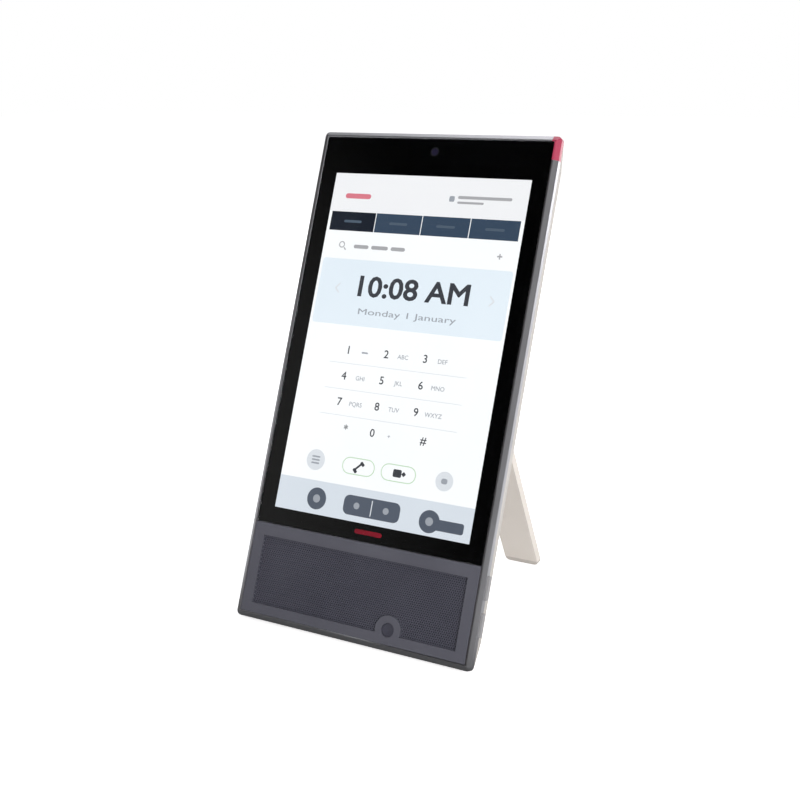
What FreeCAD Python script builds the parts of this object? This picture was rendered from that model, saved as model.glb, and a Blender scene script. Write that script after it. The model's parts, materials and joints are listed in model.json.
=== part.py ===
import FreeCAD, Part
import os
import re

# A desk phone that leans back on a folding stand. It is drawn upright in its own front-face frame:
# x to the right, y up the face from the bottom edge, and depth backwards from the front face.
# One shared placement then leans it back and sets it on the desk.

Vector = FreeCAD.Vector

# Driving dimensions, in millimetres and degrees
SIZES = {
    # Display and cover glass
    "screen_width": 107.64,
    "screen_height": 172.22,
    "side_border": 8.2,
    "top_border": 18.6,
    "bottom_border": 8.4,
    "glass_recess": 0.2,
    "glass_thickness": 1.1,
    "glass_chamfer": 0.3,
    "film_thickness": 0.4,
    "lcd_thickness": 2.2,
    "lcd_margin": 3.2,
    "lcd_foot": 7.0,
    "tray_thickness": 0.6,
    # Frame
    "rim": 3.0,
    "corner_radius": 2.5,
    "front_corner": 0.3,
    "front_chamfer": 1.6,
    "fit_gap": 0.1,
    "panel_gap": 0.3,
    # Speaker panel
    "speaker_radius": 18.0,
    "speaker_margin": 4.25,
    "speaker_offset": 8.0,
    "bezel_thickness": 1.5,
    "bezel_side": 5.7,
    "bezel_top": 6.1,
    "bezel_bottom": 4.8,
    "mesh_thickness": 0.6,
    "mesh_tuck": 1.2,
    "cloth_thickness": 0.3,
    "speaker_ring": 2.5,
    "gasket_thickness": 0.5,
    "flange_thickness": 1.0,
    "basket_depth": 5.0,
    "basket_wall": 1.2,
    "cone_thickness": 0.5,
    "magnet_radius": 12.0,
    "magnet_thickness": 3.5,
    # Round front button
    "button_offset": 20.7,
    "boss_radius": 6.7,
    "button_radius": 3.2,
    "button_sink": 0.3,
    "button_travel": 0.7,
    "button_flange": 0.6,
    "button_lip": 1.0,
    "button_stem": 0.6,
    "dish_radius": 8.0,
    "dish_depth": 0.35,
    "small_board": 12.0,
    "thin_board": 0.8,
    # Side buttons
    "lower_button_rise": 21.3,
    "side_button_pitch": 17.0,
    "side_button_length": 11.0,
    "side_button_thickness": 1.9,
    "side_button_proud": 1.3,
    "side_button_travel": 0.5,
    "side_button_play": 0.15,
    "side_web": 0.4,
    "side_flange": 1.5,
    "side_flange_reach": 0.8,
    "side_stem": 2.0,
    "side_stem_width": 3.0,
    "side_switch_length": 2.6,
    "side_switch_width": 4.0,
    # Corner light
    "light_down": 11.8,
    "light_across": 4.2,
    "light_guide": 3.0,
    "light_board_width": 6.0,
    "led_height": 1.0,
    # Camera
    "camera_drop": 6.2,
    "camera_window_radius": 2.5,
    "camera_barrel_radius": 3.0,
    "camera_barrel_depth": 1.3,
    "camera_width": 8.0,
    "camera_bracket_width": 18.0,
    "camera_bracket_thickness": 0.6,
    "lens_radius": 1.8,
    "lens_thickness": 0.8,
    # Microphones
    "microphone_offset": 40.0,
    "microphone_rise": 12.0,
    "microphone_width": 4.0,
    "microphone_height": 1.0,
    "microphone_port": 1.0,
    # Mid plate and main board
    "mid_plate_thickness": 1.0,
    "standoff_height": 1.5,
    "standoff_radius": 2.5,
    "board_thickness": 1.6,
    "board_width": 88.0,
    "board_height": 96.0,
    "board_corner": 4.0,
    "board_tongue": 24.0,
    "screw_radius": 1.0,
    "screw_head_radius": 1.9,
    "screw_head_height": 1.2,
    "screw_gap": 0.1,
    "chip_width": 14.0,
    "chip_height": 1.2,
    "pad_height": 0.8,
    "can_width": 44.0,
    "can_length": 34.0,
    "can_wall": 0.4,
    "flex_width": 20.0,
    "flex_thickness": 0.2,
    "connector_length": 4.0,
    "connector_height": 1.1,
    # Network jacks, USB port and the bay that they open into
    "jack_width": 15.6,
    "jack_depth": 18.0,
    "jack_height": 11.2,
    "jack_pitch": 18.0,
    "jack_clearance": 0.2,
    "socket_width": 11.8,
    "socket_height": 8.0,
    "socket_depth": 13.0,
    "socket_floor": 1.6,
    "bay_height": 28.0,
    "bay_margin": 3.0,
    "bay_wall": 1.6,
    "usb_width": 9.0,
    "usb_height": 3.2,
    "usb_depth": 7.5,
    "usb_wall": 0.4,
    "usb_tongue": 0.7,
    "usb_setback": 1.0,
    "usb_rise": 120.0,
    "antenna_width": 30.0,
    "antenna_height": 9.0,
    "antenna_offset": 25.0,
    "antenna_drop": 40.0,
    # Rear cover
    "cover_inset": 10.5,
    "side_inset": 5.8,
    "cover_round": 2.0,
    "side_wall": 2.4,
    "back_wall": 2.0,
    "post_radius": 3.5,
    "post_offset": 5.0,
    "post_rise": 18.0,
    "post_margin": 2.6,
    "cover_screw_radius": 1.2,
    "cover_screw_head": 2.5,
    "cover_screw_head_height": 2.0,
    "cover_screw_sink": 1.0,
    "cover_screw_bite": 1.9,
    "label_width": 46.0,
    "label_height": 18.0,
    "label_corner": 2.0,
    "label_sink": 0.3,
    "label_gap": 10.0,
    "vent_count": 11,
    "vent_pitch": 5.0,
    "vent_width": 2.0,
    "vent_length": 16.0,
    # Stand
    "lean_angle": 23.5,
    "open_angle": 50.4,
    "hinge_height": 131.0,
    "stand_thickness": 4.5,
    "stand_half_width": 45.6,
    "stand_bar_height": 18.0,
    "stand_inner_round": 8.0,
    "leg_width": 19.0,
    "leg_foot_height": 3.0,
    "leg_foot_round": 2.4,
    "stand_gap": 0.3,
    "stand_side_gap": 0.5,
    "pin_radius": 1.25,
    "pin_clearance": 0.05,
    "pin_in_stand": 10.0,
    "pin_in_cover": 7.5,
    "pin_boss": 5.0,
    "washer_radius": 2.1,
    # Base feet
    "edge_clearance": 0.6,
    "base_foot_front": 1.5,
    "base_foot_depth": 7.0,
    "base_foot_length": 22.0,
    "base_foot_offset": 45.0,
}

doc = FreeCAD.newDocument("desk_phone")
sheet = doc.addObject("Spreadsheet::Sheet", "sizes")
for row, (alias, value) in enumerate(SIZES.items(), 1):
    sheet.set("A%d" % row, alias)
    sheet.set("B%d" % row, str(value))
    sheet.setAlias("B%d" % row, alias)
doc.recompute()


def size(alias):
    """The number in a cell, for the few places that need it outside a formula."""
    return float(sheet.get(alias))


def formula(text):
    """Point every size name in a formula at its cell in the sheet."""
    return re.sub(r"[a-z_]\w*", lambda word: "sizes." + word[0] if word[0] in SIZES else word[0], text)


def bind(item, **formulas):
    for name, text in formulas.items():
        item.setExpression(name, formula(text))


def put(item, x, y, depth):
    """Bind an item's place to formulas: x, y and the depth behind the front face."""
    for axis, text in zip("xyz", (x, y, "-(%s)" % depth)):
        item.setExpression("Placement.Base." + axis, formula(text))


def span(ends):
    return "(%s) - (%s)" % (ends[1], ends[0])


def both(half, centre="0"):
    """The two ends of a range that reaches half to each side of its centre."""
    return ("(%s) - (%s)" % (centre, half), "(%s) + (%s)" % (centre, half))


def sided(side, near, far):
    """A range on the left (-1) or the right (1), from its end nearer the middle to its far end."""
    if side > 0:
        return ("(%s)" % near, "(%s)" % far)
    return ("-(%s)" % far, "-(%s)" % near)


def block(name, x, y, depth):
    item = doc.addObject("Part::Box", name)
    bind(item, Length=span(x), Width=span(y), Height=span(depth))
    put(item, x[0], y[0], depth[1])
    return item


def disc(name, x, y, radius, depth):
    """A cylinder that runs straight back from the front face."""
    item = doc.addObject("Part::Cylinder", name)
    bind(item, Radius=radius, Height=span(depth))
    put(item, x, y, depth[1])
    return item


def rod(name, x, y, depth, radius):
    """A cylinder that runs across the phone."""
    item = doc.addObject("Part::Cylinder", name)
    item.Placement = FreeCAD.Placement(Vector(), FreeCAD.Rotation(Vector(0, 1, 0), 90))
    bind(item, Radius=radius, Height=span(x))
    put(item, x[0], y, depth)
    return item


def taper(name, x, y, front_radius, back_radius, depth):
    """A cone frustum that runs straight back from the front face."""
    item = doc.addObject("Part::Cone", name)
    bind(item, Radius1=back_radius, Radius2=front_radius, Height=span(depth))
    put(item, x, y, depth[1])
    return item


def frustum(name, depth, front_x, front_y, back_x, back_y):
    """A solid between a rectangle at the first depth and a rectangle at the second."""
    item = doc.addObject("Part::Wedge", name)
    item.Placement = FreeCAD.Placement(Vector(), FreeCAD.Rotation(Vector(1, 0, 0), -90))
    bind(item, Xmin=front_x[0], Xmax=front_x[1], Zmin=front_y[0], Zmax=front_y[1])
    bind(item, X2min=back_x[0], X2max=back_x[1], Z2min=back_y[0], Z2max=back_y[1])
    bind(item, Ymin=depth[0], Ymax=depth[1])
    return item


def join(name, *items):
    item = doc.addObject("Part::MultiFuse", name)
    item.Shapes = list(items)
    item.Refine = True
    return item


def cut(name, base, *tools):
    item = doc.addObject("Part::Cut", name)
    item.Base = base
    item.Tool = tools[0] if len(tools) == 1 else join(name + "_tools", *tools)
    item.Refine = True
    return item


def common(name, first, second):
    item = doc.addObject("Part::Common", name)
    item.Base = first
    item.Tool = second
    return item


def soften(kind, name, base, radius, chosen, front_leg=None):
    """Fillet or chamfer the edges of a solid that the chosen test picks. A chamfer's leg on the front may differ."""
    doc.recompute()
    item = doc.addObject("Part::" + kind, name)
    item.Base = base
    edges = base.Shape.Edges
    item.Edges = [(n, radius, front_leg or radius) for n, edge in enumerate(edges, 1) if chosen(edge)]
    return item


def runs_back(edge):
    """True for an edge that runs straight back from the front face."""
    low, high = edge.BoundBox.DiagonalLength, edge.BoundBox.ZLength
    return abs(low - high) < 1e-6


nodes = {}
on_stand = set()


def node(label, *solids):
    """One sub-part: its solids in one compound, which the shared placement leans back."""
    item = doc.addObject("Part::Compound", label)
    item.Label = label
    item.Links = list(solids)
    nodes[label] = item
    return item


# Places that follow from the sizes
HALF_SCREEN = "(screen_width / 2)"
HALF_GLASS = "(screen_width / 2 + side_border)"
HALF_BODY = "(screen_width / 2 + side_border + rim)"
CHIN_MIDDLE = "(rim + speaker_margin + speaker_radius)"
CHIN_TOP = "(rim + 2 * (speaker_margin + speaker_radius))"
GLASS_BOTTOM = "(" + CHIN_TOP + " + panel_gap)"
SCREEN_BOTTOM = "(" + GLASS_BOTTOM + " + bottom_border)"
SCREEN_TOP = "(" + SCREEN_BOTTOM + " + screen_height)"
GLASS_TOP = "(" + SCREEN_TOP + " + top_border)"
BODY_TOP = "(" + GLASS_TOP + " + rim)"

FILM_FRONT = "(glass_recess + glass_thickness)"
LCD_FRONT = "(" + FILM_FRONT + " + film_thickness)"
LCD_BACK = "(" + LCD_FRONT + " + lcd_thickness)"
FRAME_BACK = "(" + LCD_BACK + " + tray_thickness)"
PLATE_BACK = "(" + FRAME_BACK + " + mid_plate_thickness)"
BOARD_FRONT = "(" + PLATE_BACK + " + standoff_height)"
BOARD_BACK = "(" + BOARD_FRONT + " + board_thickness)"
JACK_BACK = "(" + BOARD_BACK + " + jack_height)"
COVER_INSIDE = "(" + JACK_BACK + " + jack_clearance)"
BODY_BACK = "(" + COVER_INSIDE + " + back_wall)"


def inset(depth, whole="cover_inset"):
    """How far the tapered cover has drawn in at a depth, from its whole draw at the back."""
    return "(%s * ((%s) - %s) / (%s - %s))" % (whole, depth, FRAME_BACK, BODY_BACK, FRAME_BACK)


def inside(depth):
    """Half the width inside the cover at a depth."""
    return "(%s - side_wall - %s)" % (HALF_BODY, inset(depth, "side_inset"))


# Frame: a bevelled blank with pockets for the glass and the speaker panel
blank_box = block("blank_box", both(HALF_BODY), ("0", BODY_TOP), ("0", FRAME_BACK))
blank_round = soften("Fillet", "blank_round", blank_box, size("corner_radius"), runs_back)
# The bevel runs in over the front until only a small corner radius is left there
blank = soften("Chamfer", "blank", blank_round, size("front_chamfer"), lambda edge: edge.BoundBox.ZMin > -1e-6,
               size("corner_radius") - size("front_corner"))

glass_pocket = block("glass_pocket", both(HALF_GLASS + " + fit_gap"),
                     (GLASS_BOTTOM + " - panel_gap", GLASS_TOP + " + fit_gap"), ("-1", LCD_FRONT))
chin_pocket = block("chin_pocket", both(HALF_GLASS + " + fit_gap"),
                    ("rim - fit_gap", GLASS_BOTTOM), ("-1", "bezel_thickness"))
LCD_BOTTOM = "(" + SCREEN_BOTTOM + " - lcd_foot)"
LCD_TOP = "(" + SCREEN_TOP + " + lcd_margin)"
HALF_LCD = "(screen_width / 2 + lcd_margin)"
lcd_window = block("lcd_window", both(HALF_LCD + " + panel_gap"),
                   (LCD_BOTTOM + " - panel_gap", LCD_TOP + " + panel_gap"), ("0", FRAME_BACK + " + 1"))

MESH_LOW = "(rim + bezel_bottom)"
MESH_HIGH = "(" + CHIN_TOP + " - bezel_top)"
HALF_MESH = "(" + HALF_GLASS + " - bezel_side)"
CLOTH_BACK = "(bezel_thickness + cloth_thickness)"
cloth_pocket = block("cloth_pocket", both(HALF_MESH + " + fit_gap"),
                     (MESH_LOW + " - fit_gap", MESH_HIGH + " + fit_gap"), ("0", CLOTH_BACK))
SPEAKER_X = "-speaker_offset"
SOUND_RADIUS = "(speaker_radius - speaker_ring)"
sound_hole = disc("sound_hole", SPEAKER_X, CHIN_MIDDLE, SOUND_RADIUS, ("0", FRAME_BACK + " + 1"))

BUTTON_Y = "(rim + boss_radius + 2 * fit_gap)"
button_hole = disc("button_hole", "button_offset", BUTTON_Y, "button_radius + button_lip + 3 * fit_gap",
                   ("0", FRAME_BACK + " + 1"))
# The solid ring left around the button's hole, under the boss of the bezel
button_seat = disc("button_seat", "button_offset", BUTTON_Y, "boss_radius + fit_gap",
                   ("bezel_thickness", FRAME_BACK))
button_collar = cut("button_collar", button_seat, button_hole)

microphone_ports = []
for side in (-1, 1):
    port = disc("microphone_port_%d" % (side + 1), "%d * microphone_offset" % side, "microphone_rise",
                "microphone_port", ("0", FRAME_BACK + " + 1"))
    microphone_ports.append(port)

CAMERA_Y = "(" + GLASS_TOP + " - camera_drop)"
camera_hole = block("camera_hole", both("camera_width / 2 + fit_gap"),
                    both("camera_width / 2 + fit_gap", CAMERA_Y), ("0", FRAME_BACK + " + 1"))

# The side buttons work in one cavity behind the right wall, open at the frame's back
SIDE_FRONT = "(" + CLOTH_BACK + " + side_web)"
WALL_INSIDE = HALF_GLASS
SIDE_LENGTH = "(side_flange + side_stem + side_button_travel + panel_gap + side_switch_length + thin_board)"
CAVITY_LEFT = "(" + WALL_INSIDE + " - fit_gap - " + SIDE_LENGTH + ")"
UPPER_RISE = "(lower_button_rise + side_button_pitch)"
CAVITY_MARGIN = "(side_button_length / 2 + side_flange_reach + 2 * fit_gap)"
CAVITY_Y = ("lower_button_rise - " + CAVITY_MARGIN, UPPER_RISE + " + " + CAVITY_MARGIN)
side_cavity = block("side_cavity", (CAVITY_LEFT, WALL_INSIDE), CAVITY_Y, (SIDE_FRONT, FRAME_BACK + " + 1"))
side_slots = []
for rise in ("lower_button_rise", UPPER_RISE):
    slot = block("side_slot_%d" % len(side_slots), (WALL_INSIDE + " - 1", HALF_BODY + " + 1"),
                 both("side_button_length / 2 + fit_gap", rise), (SIDE_FRONT, FRAME_BACK + " + 1"))
    side_slots.append(slot)

# The corner light takes the place of the rim, with a guide that reaches in to its lamp
light_side = block("light_side", (HALF_GLASS + " + fit_gap", HALF_BODY + " + 1"),
                   (BODY_TOP + " - light_down", BODY_TOP + " + 1"), ("-1", FRAME_BACK))
light_top = block("light_top", (HALF_BODY + " - light_across", HALF_BODY + " + 1"),
                  (GLASS_TOP + " + fit_gap", BODY_TOP + " + 1"), ("-1", FRAME_BACK))
light_corner = join("light_corner", light_side, light_top)
GUIDE_X = (HALF_GLASS + " - light_board_width + 1.5 * fit_gap", HALF_GLASS + " + fit_gap")
GUIDE_Y = "(" + BODY_TOP + " - light_down / 2)"
light_channel = block("light_channel", (GUIDE_X[0] + " - fit_gap", GUIDE_X[1]),
                      both("light_guide / 2 + fit_gap", GUIDE_Y), (LCD_FRONT, FRAME_BACK + " + 1"))

POST_X = "(stand_half_width + post_offset)"
POST_TOP = "(" + LCD_TOP + " + panel_gap + post_margin)"
POST_SPOTS = [(side, rise) for side in (-1, 1) for rise in ("post_rise", POST_TOP)]
SCREW_END = "(" + FRAME_BACK + " - cover_screw_bite)"
frame_screw_holes = []
for side, rise in POST_SPOTS:
    hole = disc("frame_screw_hole_%d" % len(frame_screw_holes), "%d * %s" % (side, POST_X), rise,
                "cover_screw_radius + screw_gap", (SCREW_END + " - screw_gap", FRAME_BACK + " + 1"))
    frame_screw_holes.append(hole)

# Screws that hold the mid plate stand in the ledge beside the display
LEDGE_X = "((" + HALF_LCD + " + " + HALF_GLASS + ") / 2)"
PLATE_RISES = [SCREEN_BOTTOM, "((" + SCREEN_BOTTOM + " + " + SCREEN_TOP + ") / 2)", SCREEN_TOP + " - lcd_foot"]
PLATE_SPOTS = [("%d * %s" % (side, LEDGE_X), rise) for side in (-1, 1) for rise in PLATE_RISES]
PLATE_SCREW_END = "(" + LCD_FRONT + " + lcd_thickness / 2)"
plate_screw_holes = []
for x, y in PLATE_SPOTS:
    hole = disc("plate_screw_hole_%d" % len(plate_screw_holes), x, y, "screw_radius + screw_gap",
                (PLATE_SCREW_END + " - screw_gap", FRAME_BACK + " + 1"))
    plate_screw_holes.append(hole)

frame_cut = cut("frame_cut", blank, glass_pocket, chin_pocket, lcd_window, cloth_pocket, sound_hole, button_hole,
                camera_hole, side_cavity, light_corner, light_channel,
                *microphone_ports, *side_slots, *frame_screw_holes, *plate_screw_holes)
node("front_frame", join("frame_whole", frame_cut, button_collar))

# Glass, border film, display and tray
glass_plate = block("glass_plate", both(HALF_GLASS), (GLASS_BOTTOM, GLASS_TOP), ("glass_recess", FILM_FRONT))
glass_edge = soften("Chamfer", "glass_edge", glass_plate, size("glass_chamfer"),
                    lambda edge: edge.BoundBox.ZMin > -size("glass_recess") - 1e-6)
node("cover_glass", glass_edge)

film_plate = block("film_plate", both(HALF_GLASS), (GLASS_BOTTOM, GLASS_TOP), (FILM_FRONT, LCD_FRONT))
film_window = block("film_window", both(HALF_SCREEN), (SCREEN_BOTTOM, SCREEN_TOP), ("0", LCD_FRONT + " + 1"))
film_camera = disc("film_camera", "0", CAMERA_Y, "camera_window_radius", ("0", LCD_FRONT + " + 1"))
node("border_film", cut("film_cut", film_plate, film_window, film_camera))

node("lcd_panel", block("lcd_block", both(HALF_LCD), (LCD_BOTTOM, LCD_TOP), (LCD_FRONT, LCD_BACK)))
node("backlight_tray", block("tray_block", both(HALF_LCD), (LCD_BOTTOM, LCD_TOP), (LCD_BACK, FRAME_BACK)))

# Mid plate and its screws
FLEX_Y = "(" + LCD_BOTTOM + " + lcd_margin / 2)"
plate_block = block("plate_block", both(inside(PLATE_BACK) + " - stand_side_gap"),
                    (LCD_BOTTOM + " - 5 * panel_gap", LCD_TOP + " - lcd_margin / 2"), (FRAME_BACK, PLATE_BACK))
flex_slot = block("flex_slot", both("flex_width / 2 + panel_gap"),
                  (FLEX_Y + " - panel_gap", FLEX_Y + " + flex_thickness + panel_gap"), ("0", PLATE_BACK + " + 1"))
plate_holes = []
plate_screws = []
for x, y in PLATE_SPOTS:
    number = len(plate_screws)
    plate_holes.append(disc("plate_hole_%d" % number, x, y, "screw_radius + screw_gap", ("0", PLATE_BACK + " + 1")))
    shank = disc("plate_shank_%d" % number, x, y, "screw_radius", (PLATE_SCREW_END, PLATE_BACK))
    head = disc("plate_head_%d" % number, x, y, "screw_head_radius",
                (PLATE_BACK, PLATE_BACK + " + screw_head_height"))
    plate_screws.append(join("plate_screw_%d" % number, shank, head))

# Main board on its standoffs, with a tongue on the left for the USB port
BAY_FLOOR = "(" + CHIN_TOP + " + bay_wall)"
BAY_TOP = "(" + BAY_FLOOR + " + bay_height)"
BOARD_LOW = "(" + BAY_TOP + " + bay_wall + panel_gap)"
BOARD_HIGH = "(" + BOARD_LOW + " + board_height)"
BOARD_MIDDLE = "(" + BOARD_LOW + " + board_height / 2)"
board_plate = block("board_plate", both("board_width / 2"), (BOARD_LOW, BOARD_HIGH), (BOARD_FRONT, BOARD_BACK))
tongue = block("board_tongue_block", ("-%s + stand_side_gap" % inside(BOARD_BACK), "0"),
               both("board_tongue / 2", "usb_rise"), (BOARD_FRONT, BOARD_BACK))
STANDOFF_X = "(board_width / 2 - board_corner)"
STANDOFF_SPOTS = [("%d * %s" % (side, STANDOFF_X), rise) for side in (-1, 1)
                  for rise in (BOARD_LOW + " + board_corner", BOARD_HIGH + " - board_corner")]
board_holes = []
standoffs = []
board_screws = []
for x, y in STANDOFF_SPOTS:
    number = len(standoffs)
    bore = disc("standoff_bore_%d" % number, x, y, "screw_radius + screw_gap", ("0", BOARD_BACK + " + 1"))
    board_holes.append(bore)
    post = disc("standoff_post_%d" % number, x, y, "standoff_radius", (PLATE_BACK, BOARD_FRONT))
    standoffs.append(cut("standoff_%d" % number, post, bore))
    shank = disc("board_shank_%d" % number, x, y, "screw_radius", (FRAME_BACK, BOARD_BACK))
    head = disc("board_head_%d" % number, x, y, "screw_head_radius",
                (BOARD_BACK, BOARD_BACK + " + screw_head_height"))
    board_screws.append(join("board_screw_%d" % number, shank, head))

node("mid_plate", cut("mid_plate_cut", plate_block, flex_slot, *plate_holes, *board_holes))
node("mid_plate_screws", *plate_screws)
node("main_board", cut("board_cut", join("board_whole", board_plate, tongue), *board_holes))
node("board_standoffs", *standoffs)
node("board_screws", *board_screws)

node("processor", block("chip_block", both("chip_width / 2"), both("chip_width / 2", BOARD_MIDDLE),
                        (BOARD_BACK, BOARD_BACK + " + chip_height")))
CHIP_BACK = "(" + BOARD_BACK + " + chip_height)"
PAD_BACK = "(" + CHIP_BACK + " + pad_height)"
node("thermal_pad", block("pad_block", both("chip_width / 2"), both("chip_width / 2", BOARD_MIDDLE),
                          (CHIP_BACK, PAD_BACK)))
can_block = block("can_block", both("can_width / 2"), both("can_length / 2", BOARD_MIDDLE),
                  (BOARD_BACK, PAD_BACK + " + can_wall"))
can_hollow = block("can_hollow", both("can_width / 2 - can_wall"), both("can_length / 2 - can_wall", BOARD_MIDDLE),
                   ("0", PAD_BACK))
node("shield_can", cut("can_cut", can_block, can_hollow))

# Ribbon from the display through the mid plate to its connector on the board's front
CONNECTOR_LOW = "(" + BOARD_LOW + " + board_corner)"
CONNECTOR_FRONT = "(" + BOARD_FRONT + " - connector_height)"
RIBBON_DEPTH = ("(%s + connector_height / 2)" % CONNECTOR_FRONT,
                "(%s + connector_height / 2 + flex_thickness)" % CONNECTOR_FRONT)
ribbon_drop = block("ribbon_drop", both("flex_width / 2"), (FLEX_Y, FLEX_Y + " + flex_thickness"),
                    (FRAME_BACK, RIBBON_DEPTH[1]))
ribbon_run = block("ribbon_run", both("flex_width / 2"), (FLEX_Y, CONNECTOR_LOW), RIBBON_DEPTH)
node("display_flex", join("ribbon", ribbon_drop, ribbon_run))
node("display_connector", block("connector_block", both("flex_width / 2 + panel_gap"),
                                (CONNECTOR_LOW, CONNECTOR_LOW + " + connector_length"),
                                (CONNECTOR_FRONT, BOARD_FRONT)))

# Network jacks, which open downwards into the bay
for label, side in (("lan_jack", -1), ("pc_jack", 1)):
    middle = "%d * jack_pitch / 2" % side
    shell = block(label + "_shell", both("jack_width / 2", middle), (BAY_TOP, BAY_TOP + " + jack_depth"),
                  (BOARD_BACK, JACK_BACK))
    socket = block(label + "_socket", both("socket_width / 2", middle), (BAY_TOP + " - 1", BAY_TOP + " + socket_depth"),
                   (BOARD_BACK + " + socket_floor", BOARD_BACK + " + socket_floor + socket_height"))
    node(label, cut(label + "_cut", shell, socket))

USB_BACK = "(" + BOARD_BACK + " + usb_height)"
USB_MOUTH = "(" + HALF_BODY + " - " + inset(USB_BACK, "side_inset") + " - usb_setback)"
USB_END = "(" + USB_MOUTH + " - usb_depth)"
usb_shell = block("usb_shell", sided(-1, USB_END, USB_MOUTH), both("usb_width / 2", "usb_rise"),
                  (BOARD_BACK, USB_BACK))
usb_hollow = block("usb_hollow", sided(-1, USB_END + " + usb_wall", USB_MOUTH + " + 1"),
                   both("usb_width / 2 - usb_wall", "usb_rise"),
                   (BOARD_BACK + " + usb_wall", USB_BACK + " - usb_wall"))
usb_blade = block("usb_blade", sided(-1, USB_END, USB_MOUTH + " - usb_setback"),
                  both("usb_width / 2 - 3 * usb_wall", "usb_rise"),
                  both("usb_tongue / 2", BOARD_BACK + " + usb_height / 2"))
node("usb_port", join("usb_whole", cut("usb_cut", usb_shell, usb_hollow), usb_blade))

antennas = []
for side in (-1, 1):
    antenna = block("antenna_%d" % (side + 1), both("antenna_width / 2", "%d * antenna_offset" % side),
                    both("antenna_height / 2", BODY_TOP + " - antenna_drop"),
                    (COVER_INSIDE + " - thin_board", COVER_INSIDE))
    antennas.append(antenna)
node("wifi_antennas", *antennas)

# Camera behind the glass, on a bracket across the frame's back
barrel = disc("camera_barrel", "0", CAMERA_Y, "camera_barrel_radius",
              (LCD_FRONT, LCD_FRONT + " + camera_barrel_depth"))
camera_box = block("camera_box", both("camera_width / 2"), both("camera_width / 2", CAMERA_Y),
                   (LCD_FRONT + " + camera_barrel_depth", FRAME_BACK))
lens_seat = disc("lens_seat", "0", CAMERA_Y, "lens_radius", ("0", LCD_FRONT + " + lens_thickness"))
node("camera_module", cut("camera_cut", join("camera_whole", barrel, camera_box), lens_seat))
node("camera_lens", disc("lens_disc", "0", CAMERA_Y, "lens_radius - fit_gap / 2",
                         (LCD_FRONT, LCD_FRONT + " + lens_thickness")))
node("camera_bracket", block("bracket_plate", both("camera_bracket_width / 2"),
                             both("camera_width / 2 + stand_side_gap", CAMERA_Y),
                             (FRAME_BACK, FRAME_BACK + " + camera_bracket_thickness")))

# Corner light, its board and its lamp
BOARD_FACE = "(" + FRAME_BACK + " + thin_board)"
light_shape = common("light_shape", blank, light_corner)
light_arm = block("light_arm", GUIDE_X, both("light_guide / 2", GUIDE_Y), (LCD_FRONT + " + fit_gap", FRAME_BACK))
light_tip = block("light_tip", (GUIDE_X[0], GUIDE_X[0] + " + light_guide"), both("light_guide / 2", GUIDE_Y),
                  (LCD_FRONT + " + fit_gap", BOARD_FACE))
node("light_pipe", join("light_whole", light_shape, light_arm, light_tip))
LIGHT_BOARD_X = (HALF_GLASS + " - light_board_width - panel_gap", HALF_GLASS + " - panel_gap - fit_gap")
light_board = block("light_board", LIGHT_BOARD_X, both("light_guide - panel_gap", GUIDE_Y),
                    (FRAME_BACK, BOARD_FACE))
light_gap = block("light_gap", (GUIDE_X[0] + " - fit_gap", GUIDE_X[0] + " + light_guide + fit_gap"),
                  both("light_guide / 2 + fit_gap", GUIDE_Y), ("0", BOARD_FACE + " + 1"))
node("light_board", cut("light_board_cut", light_board, light_gap))
node("indicator_led", block("led_block", (GUIDE_X[0] + " - 2 * fit_gap", GUIDE_X[0] + " + light_guide + 2 * fit_gap"),
                            both("light_guide / 2 + 4 * fit_gap", GUIDE_Y), (BOARD_FACE, BOARD_FACE + " + led_height")))

microphones = []
for side in (-1, 1):
    capsule = block("microphone_%d" % (side + 1), both("microphone_width / 2", "%d * microphone_offset" % side),
                    both("microphone_width / 2", "microphone_rise"), (FRAME_BACK, FRAME_BACK + " + microphone_height"))
    microphones.append(capsule)
node("microphones", *microphones)

# Speaker panel: bezel with a round boss, mesh tucked behind it and cloth behind that
bezel_plate = block("bezel_plate", both(HALF_GLASS), ("rim", CHIN_TOP), ("0", "bezel_thickness"))
bezel_window = block("bezel_window", both(HALF_MESH), (MESH_LOW, MESH_HIGH), ("-1", "bezel_thickness + 1"))
MESH_FRONT = "(bezel_thickness - mesh_thickness)"
bezel_rebate = block("bezel_rebate", both(HALF_MESH + " + mesh_tuck + fit_gap"),
                     (MESH_LOW + " - mesh_tuck - fit_gap", MESH_HIGH + " + mesh_tuck + fit_gap"),
                     (MESH_FRONT, "bezel_thickness + 1"))
boss = disc("boss", "button_offset", BUTTON_Y, "boss_radius", ("0", "bezel_thickness"))
boss_bore = disc("boss_bore", "button_offset", BUTTON_Y, "button_radius + fit_gap", ("-1", "bezel_thickness + 1"))
bezel_frame = cut("bezel_frame", bezel_plate, bezel_window, bezel_rebate)
node("speaker_bezel", cut("bezel_cut", join("bezel_whole", bezel_frame, boss), boss_bore))

boss_clear = disc("boss_clear", "button_offset", BUTTON_Y, "boss_radius + fit_gap", ("-1", FRAME_BACK))
mesh_plate = block("mesh_plate", both(HALF_MESH + " + mesh_tuck"),
                   (MESH_LOW + " - mesh_tuck", MESH_HIGH + " + mesh_tuck"), (MESH_FRONT, "bezel_thickness"))
node("speaker_mesh", cut("mesh_cut", mesh_plate, boss_clear))
cloth_plate = block("cloth_plate", both(HALF_MESH), (MESH_LOW, MESH_HIGH), ("bezel_thickness", CLOTH_BACK))
cloth_clear = disc("cloth_clear", "button_offset", BUTTON_Y, "boss_radius + 2 * fit_gap", ("-1", FRAME_BACK))
node("speaker_cloth", cut("cloth_cut", cloth_plate, cloth_clear))

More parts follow.
